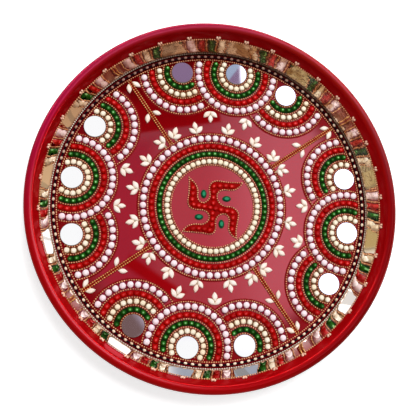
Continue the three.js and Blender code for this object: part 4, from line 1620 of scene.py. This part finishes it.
# %% Outline of the swastika, in millimetres
SIGN_RUNS = [
    # from tip to tip round the upper, right, lower and left notch
    [
        (-19.4, 23.8), (-16.8, 21.2), (-14.3, 18.5), (-12.7, 15.2), (-12.2, 11.6), (-12.5, 7.9),
        (-11.4, 4.6), (-8.3, 2.6), (-4.9, 3.9), (-2.5, 6.6), (-2.1, 10.2), (-2.6, 13.8), (-2.0, 17.4),
        (0.4, 20.1), (3.9, 21.2), (7.6, 20.8), (11.2, 20.4), (14.9, 20.0), (18.6, 20.0), (22.3, 19.8),
    ],
    [
        (25.9, 20.2), (23.8, 17.2), (21.0, 14.8), (17.5, 13.6), (13.8, 13.4), (10.1, 13.8), (6.6, 12.8),
        (4.2, 10.1), (4.0, 6.5), (5.4, 3.1), (8.1, 0.7), (11.6, -0.5), (15.3, -0.7), (18.6, -2.2),
        (21.1, -4.9), (21.7, -8.5), (20.9, -12.1), (20.3, -15.8), (19.6, -19.4), (19.4, -23.1),
    ],
    [
        (19.7, -27.0), (16.7, -25.1), (14.4, -22.3), (13.1, -19.0), (13.4, -15.4), (13.9, -11.8),
        (12.8, -8.5), (9.7, -6.7), (6.2, -7.3), (3.6, -9.6), (2.3, -12.9), (2.2, -16.5), (2.0, -20.1),
        (-0.1, -23.0), (-3.5, -23.7), (-7.0, -22.9), (-10.6, -22.4), (-14.2, -22.2), (-17.9, -21.8),
        (-21.5, -21.6),
    ],
    [
        (-25.1, -21.3), (-22.9, -18.4), (-19.9, -16.5), (-16.4, -15.5), (-12.8, -15.3), (-9.2, -15.5),
        (-5.9, -14.2), (-3.5, -11.6), (-3.1, -8.1), (-5.0, -5.1), (-8.2, -3.5), (-11.8, -3.4),
        (-15.4, -2.8), (-18.7, -1.4), (-20.4, 1.7), (-20.5, 5.3), (-19.9, 8.9), (-19.5, 12.5),
        (-19.3, 16.1), (-19.2, 19.8),
    ],
]
SIGN_STONES = [
    # two strings that cross in the middle, each from tip to tip
    [
        (-16.3, 15.0), (-16.5, 10.0), (-17.0, 5.2), (-15.9, 1.0), (-11.5, 0.0), (-7.0, -0.6), (-2.1, -1.5),
        (2.4, -2.3), (6.9, -3.3), (11.9, -4.3), (16.4, -5.3), (16.9, -9.9), (16.4, -14.9), (15.9, -19.5),
    ],
    [
        (16.3, 16.6), (11.2, 17.0), (6.2, 16.9), (1.3, 16.4), (1.0, 11.8), (0.6, 6.9), (0.5, 2.3),
        (-0.2, -6.3), (-0.3, -11.0), (-1.0, -15.8), (-2.7, -20.2), (-7.2, -19.5), (-11.9, -19.0),
        (-16.7, -19.2),
    ],
]
CURVE_STEPS = 3


def smoothed(run, steps):
    """A Catmull-Rom curve through the points of a run, without its last point."""
    points, last = [], len(run) - 1
    for i in range(last):
        a, b, c, d = (Vector(run[min(max(k, 0), last)]) for k in (i - 1, i, i + 1, i + 2))
        for step in range(steps):
            t = step / steps
            bend = (2 * a - 5 * b + 4 * c - d) * t ** 2 + (3 * b - a - 3 * c + d) * t ** 3
            points.append(tuple(0.5 * (2 * b + (c - a) * t + bend)))
    return points


def at_height(corners, z):
    return [(x, y, z) for x, y in corners]


outline = []
for run, following in zip(SIGN_RUNS, SIGN_RUNS[1:] + SIGN_RUNS[:1]):
    outline += smoothed([(x * MM, y * MM) for x, y in run + following[:1]], CURVE_STEPS)
sign_path = (at_height(outline, SHEET + BALL_R), True)
hand_over(chain("swastika_chain_beads", [sign_path], 110), "ball_chain", "swastika_chain")

# %% Red stones in the arms
CHIP_SHARES = (0.86, 0.96)
stone_marks = []
for string in SIGN_STONES:
    for i, (x, y) in enumerate(string):
        before, after = string[max(i - 1, 0)], string[min(i + 1, len(string) - 1)]
        along = math.atan2(after[1] - before[1], after[0] - before[0])
        share = unsteady.uniform(*CHIP_SHARES)
        stone_marks.append(((x * MM, y * MM, SHEET + TAPE_H / 2), (0, 0, along), (share, share, 1)))
chips = points_object("swastika_red_chips", stone_marks)
chips = grow(chips, at_points, Piece=red_stone, Seed=4, Material=red_foil)
hand_over(chips, "red_stones", "swastika_red_stones")

# %% [markdown]
# The glue between the stones is one low block with the sign's own outline, moved in to the
# middle of the chain. At a sharp tip the inset would run far out, so it is held back there.

# %% Glue bed of the swastika
BED_H = 0.6 * MM
SHARPEST = 0.35


def inset(corners, distance):
    """Moves a closed outline inwards, with the inside on the right of its direction."""
    moved = []
    for i, (x, y) in enumerate(corners):
        px, py = corners[i - 1]
        nx, ny = corners[(i + 1) % len(corners)]
        before = Vector((x - px, y - py)).normalized()
        after = Vector((nx - x, ny - y)).normalized()
        inward = Vector((before.y + after.y, -before.x - after.x)).normalized()
        step = distance / max(inward.x * after.y - inward.y * after.x, SHARPEST)
        moved.append((x + inward.x * step, y + inward.y * step))
    return moved


bed_line = inset(outline, CHAIN_W / 2)
count = len(bed_line)
bed_faces = [tuple(range(count)), tuple(range(count, 2 * count))[::-1]]
bed_faces += [(i, count + i, count + (i + 1) % count, (i + 1) % count) for i in range(count)]
bed_points = at_height(bed_line, SHEET) + at_height(bed_line, SHEET + BED_H)
bed = mesh_object("swastika_glue_bed", bed_points, bed_faces)
bed.data.materials.append(tapes["red"])
hand_over(bed, "red_stones", "swastika_red_stones")

# %% [markdown]
# ## Green drops
# One oval green stone lies in each notch of the sign. The CAD model has them as four pieces, so
# each is handed over by itself.

# %% Green drops in the notches
GREEN_DROPS = [
    # place in millimetres, turn in degrees
    (-7.3, 10.0, 0), (11.9, 6.1, 90), (7.2, -15.1, 0), (-11.5, -9.3, 90),
]
for number, (x, y, degrees) in enumerate(GREEN_DROPS):
    mark = ((x * MM, y * MM, SHEET), (0, 0, math.radians(degrees)), (1, 1, 1))
    drop = points_object(f"swastika_green_drop_{number + 1}", [mark])
    grow(drop, at_points, Piece=drop_cut, Seed=121, Material=green_drop)
    hand_over(drop, "green_stones", f"swastika_green_stone_{number + 1}")

# %% [markdown]
# ## Clearing up
# The small shapes have done their work and go.

# %% Clear the small shapes
for shape in small_shapes:
    bpy.data.objects.remove(shape)
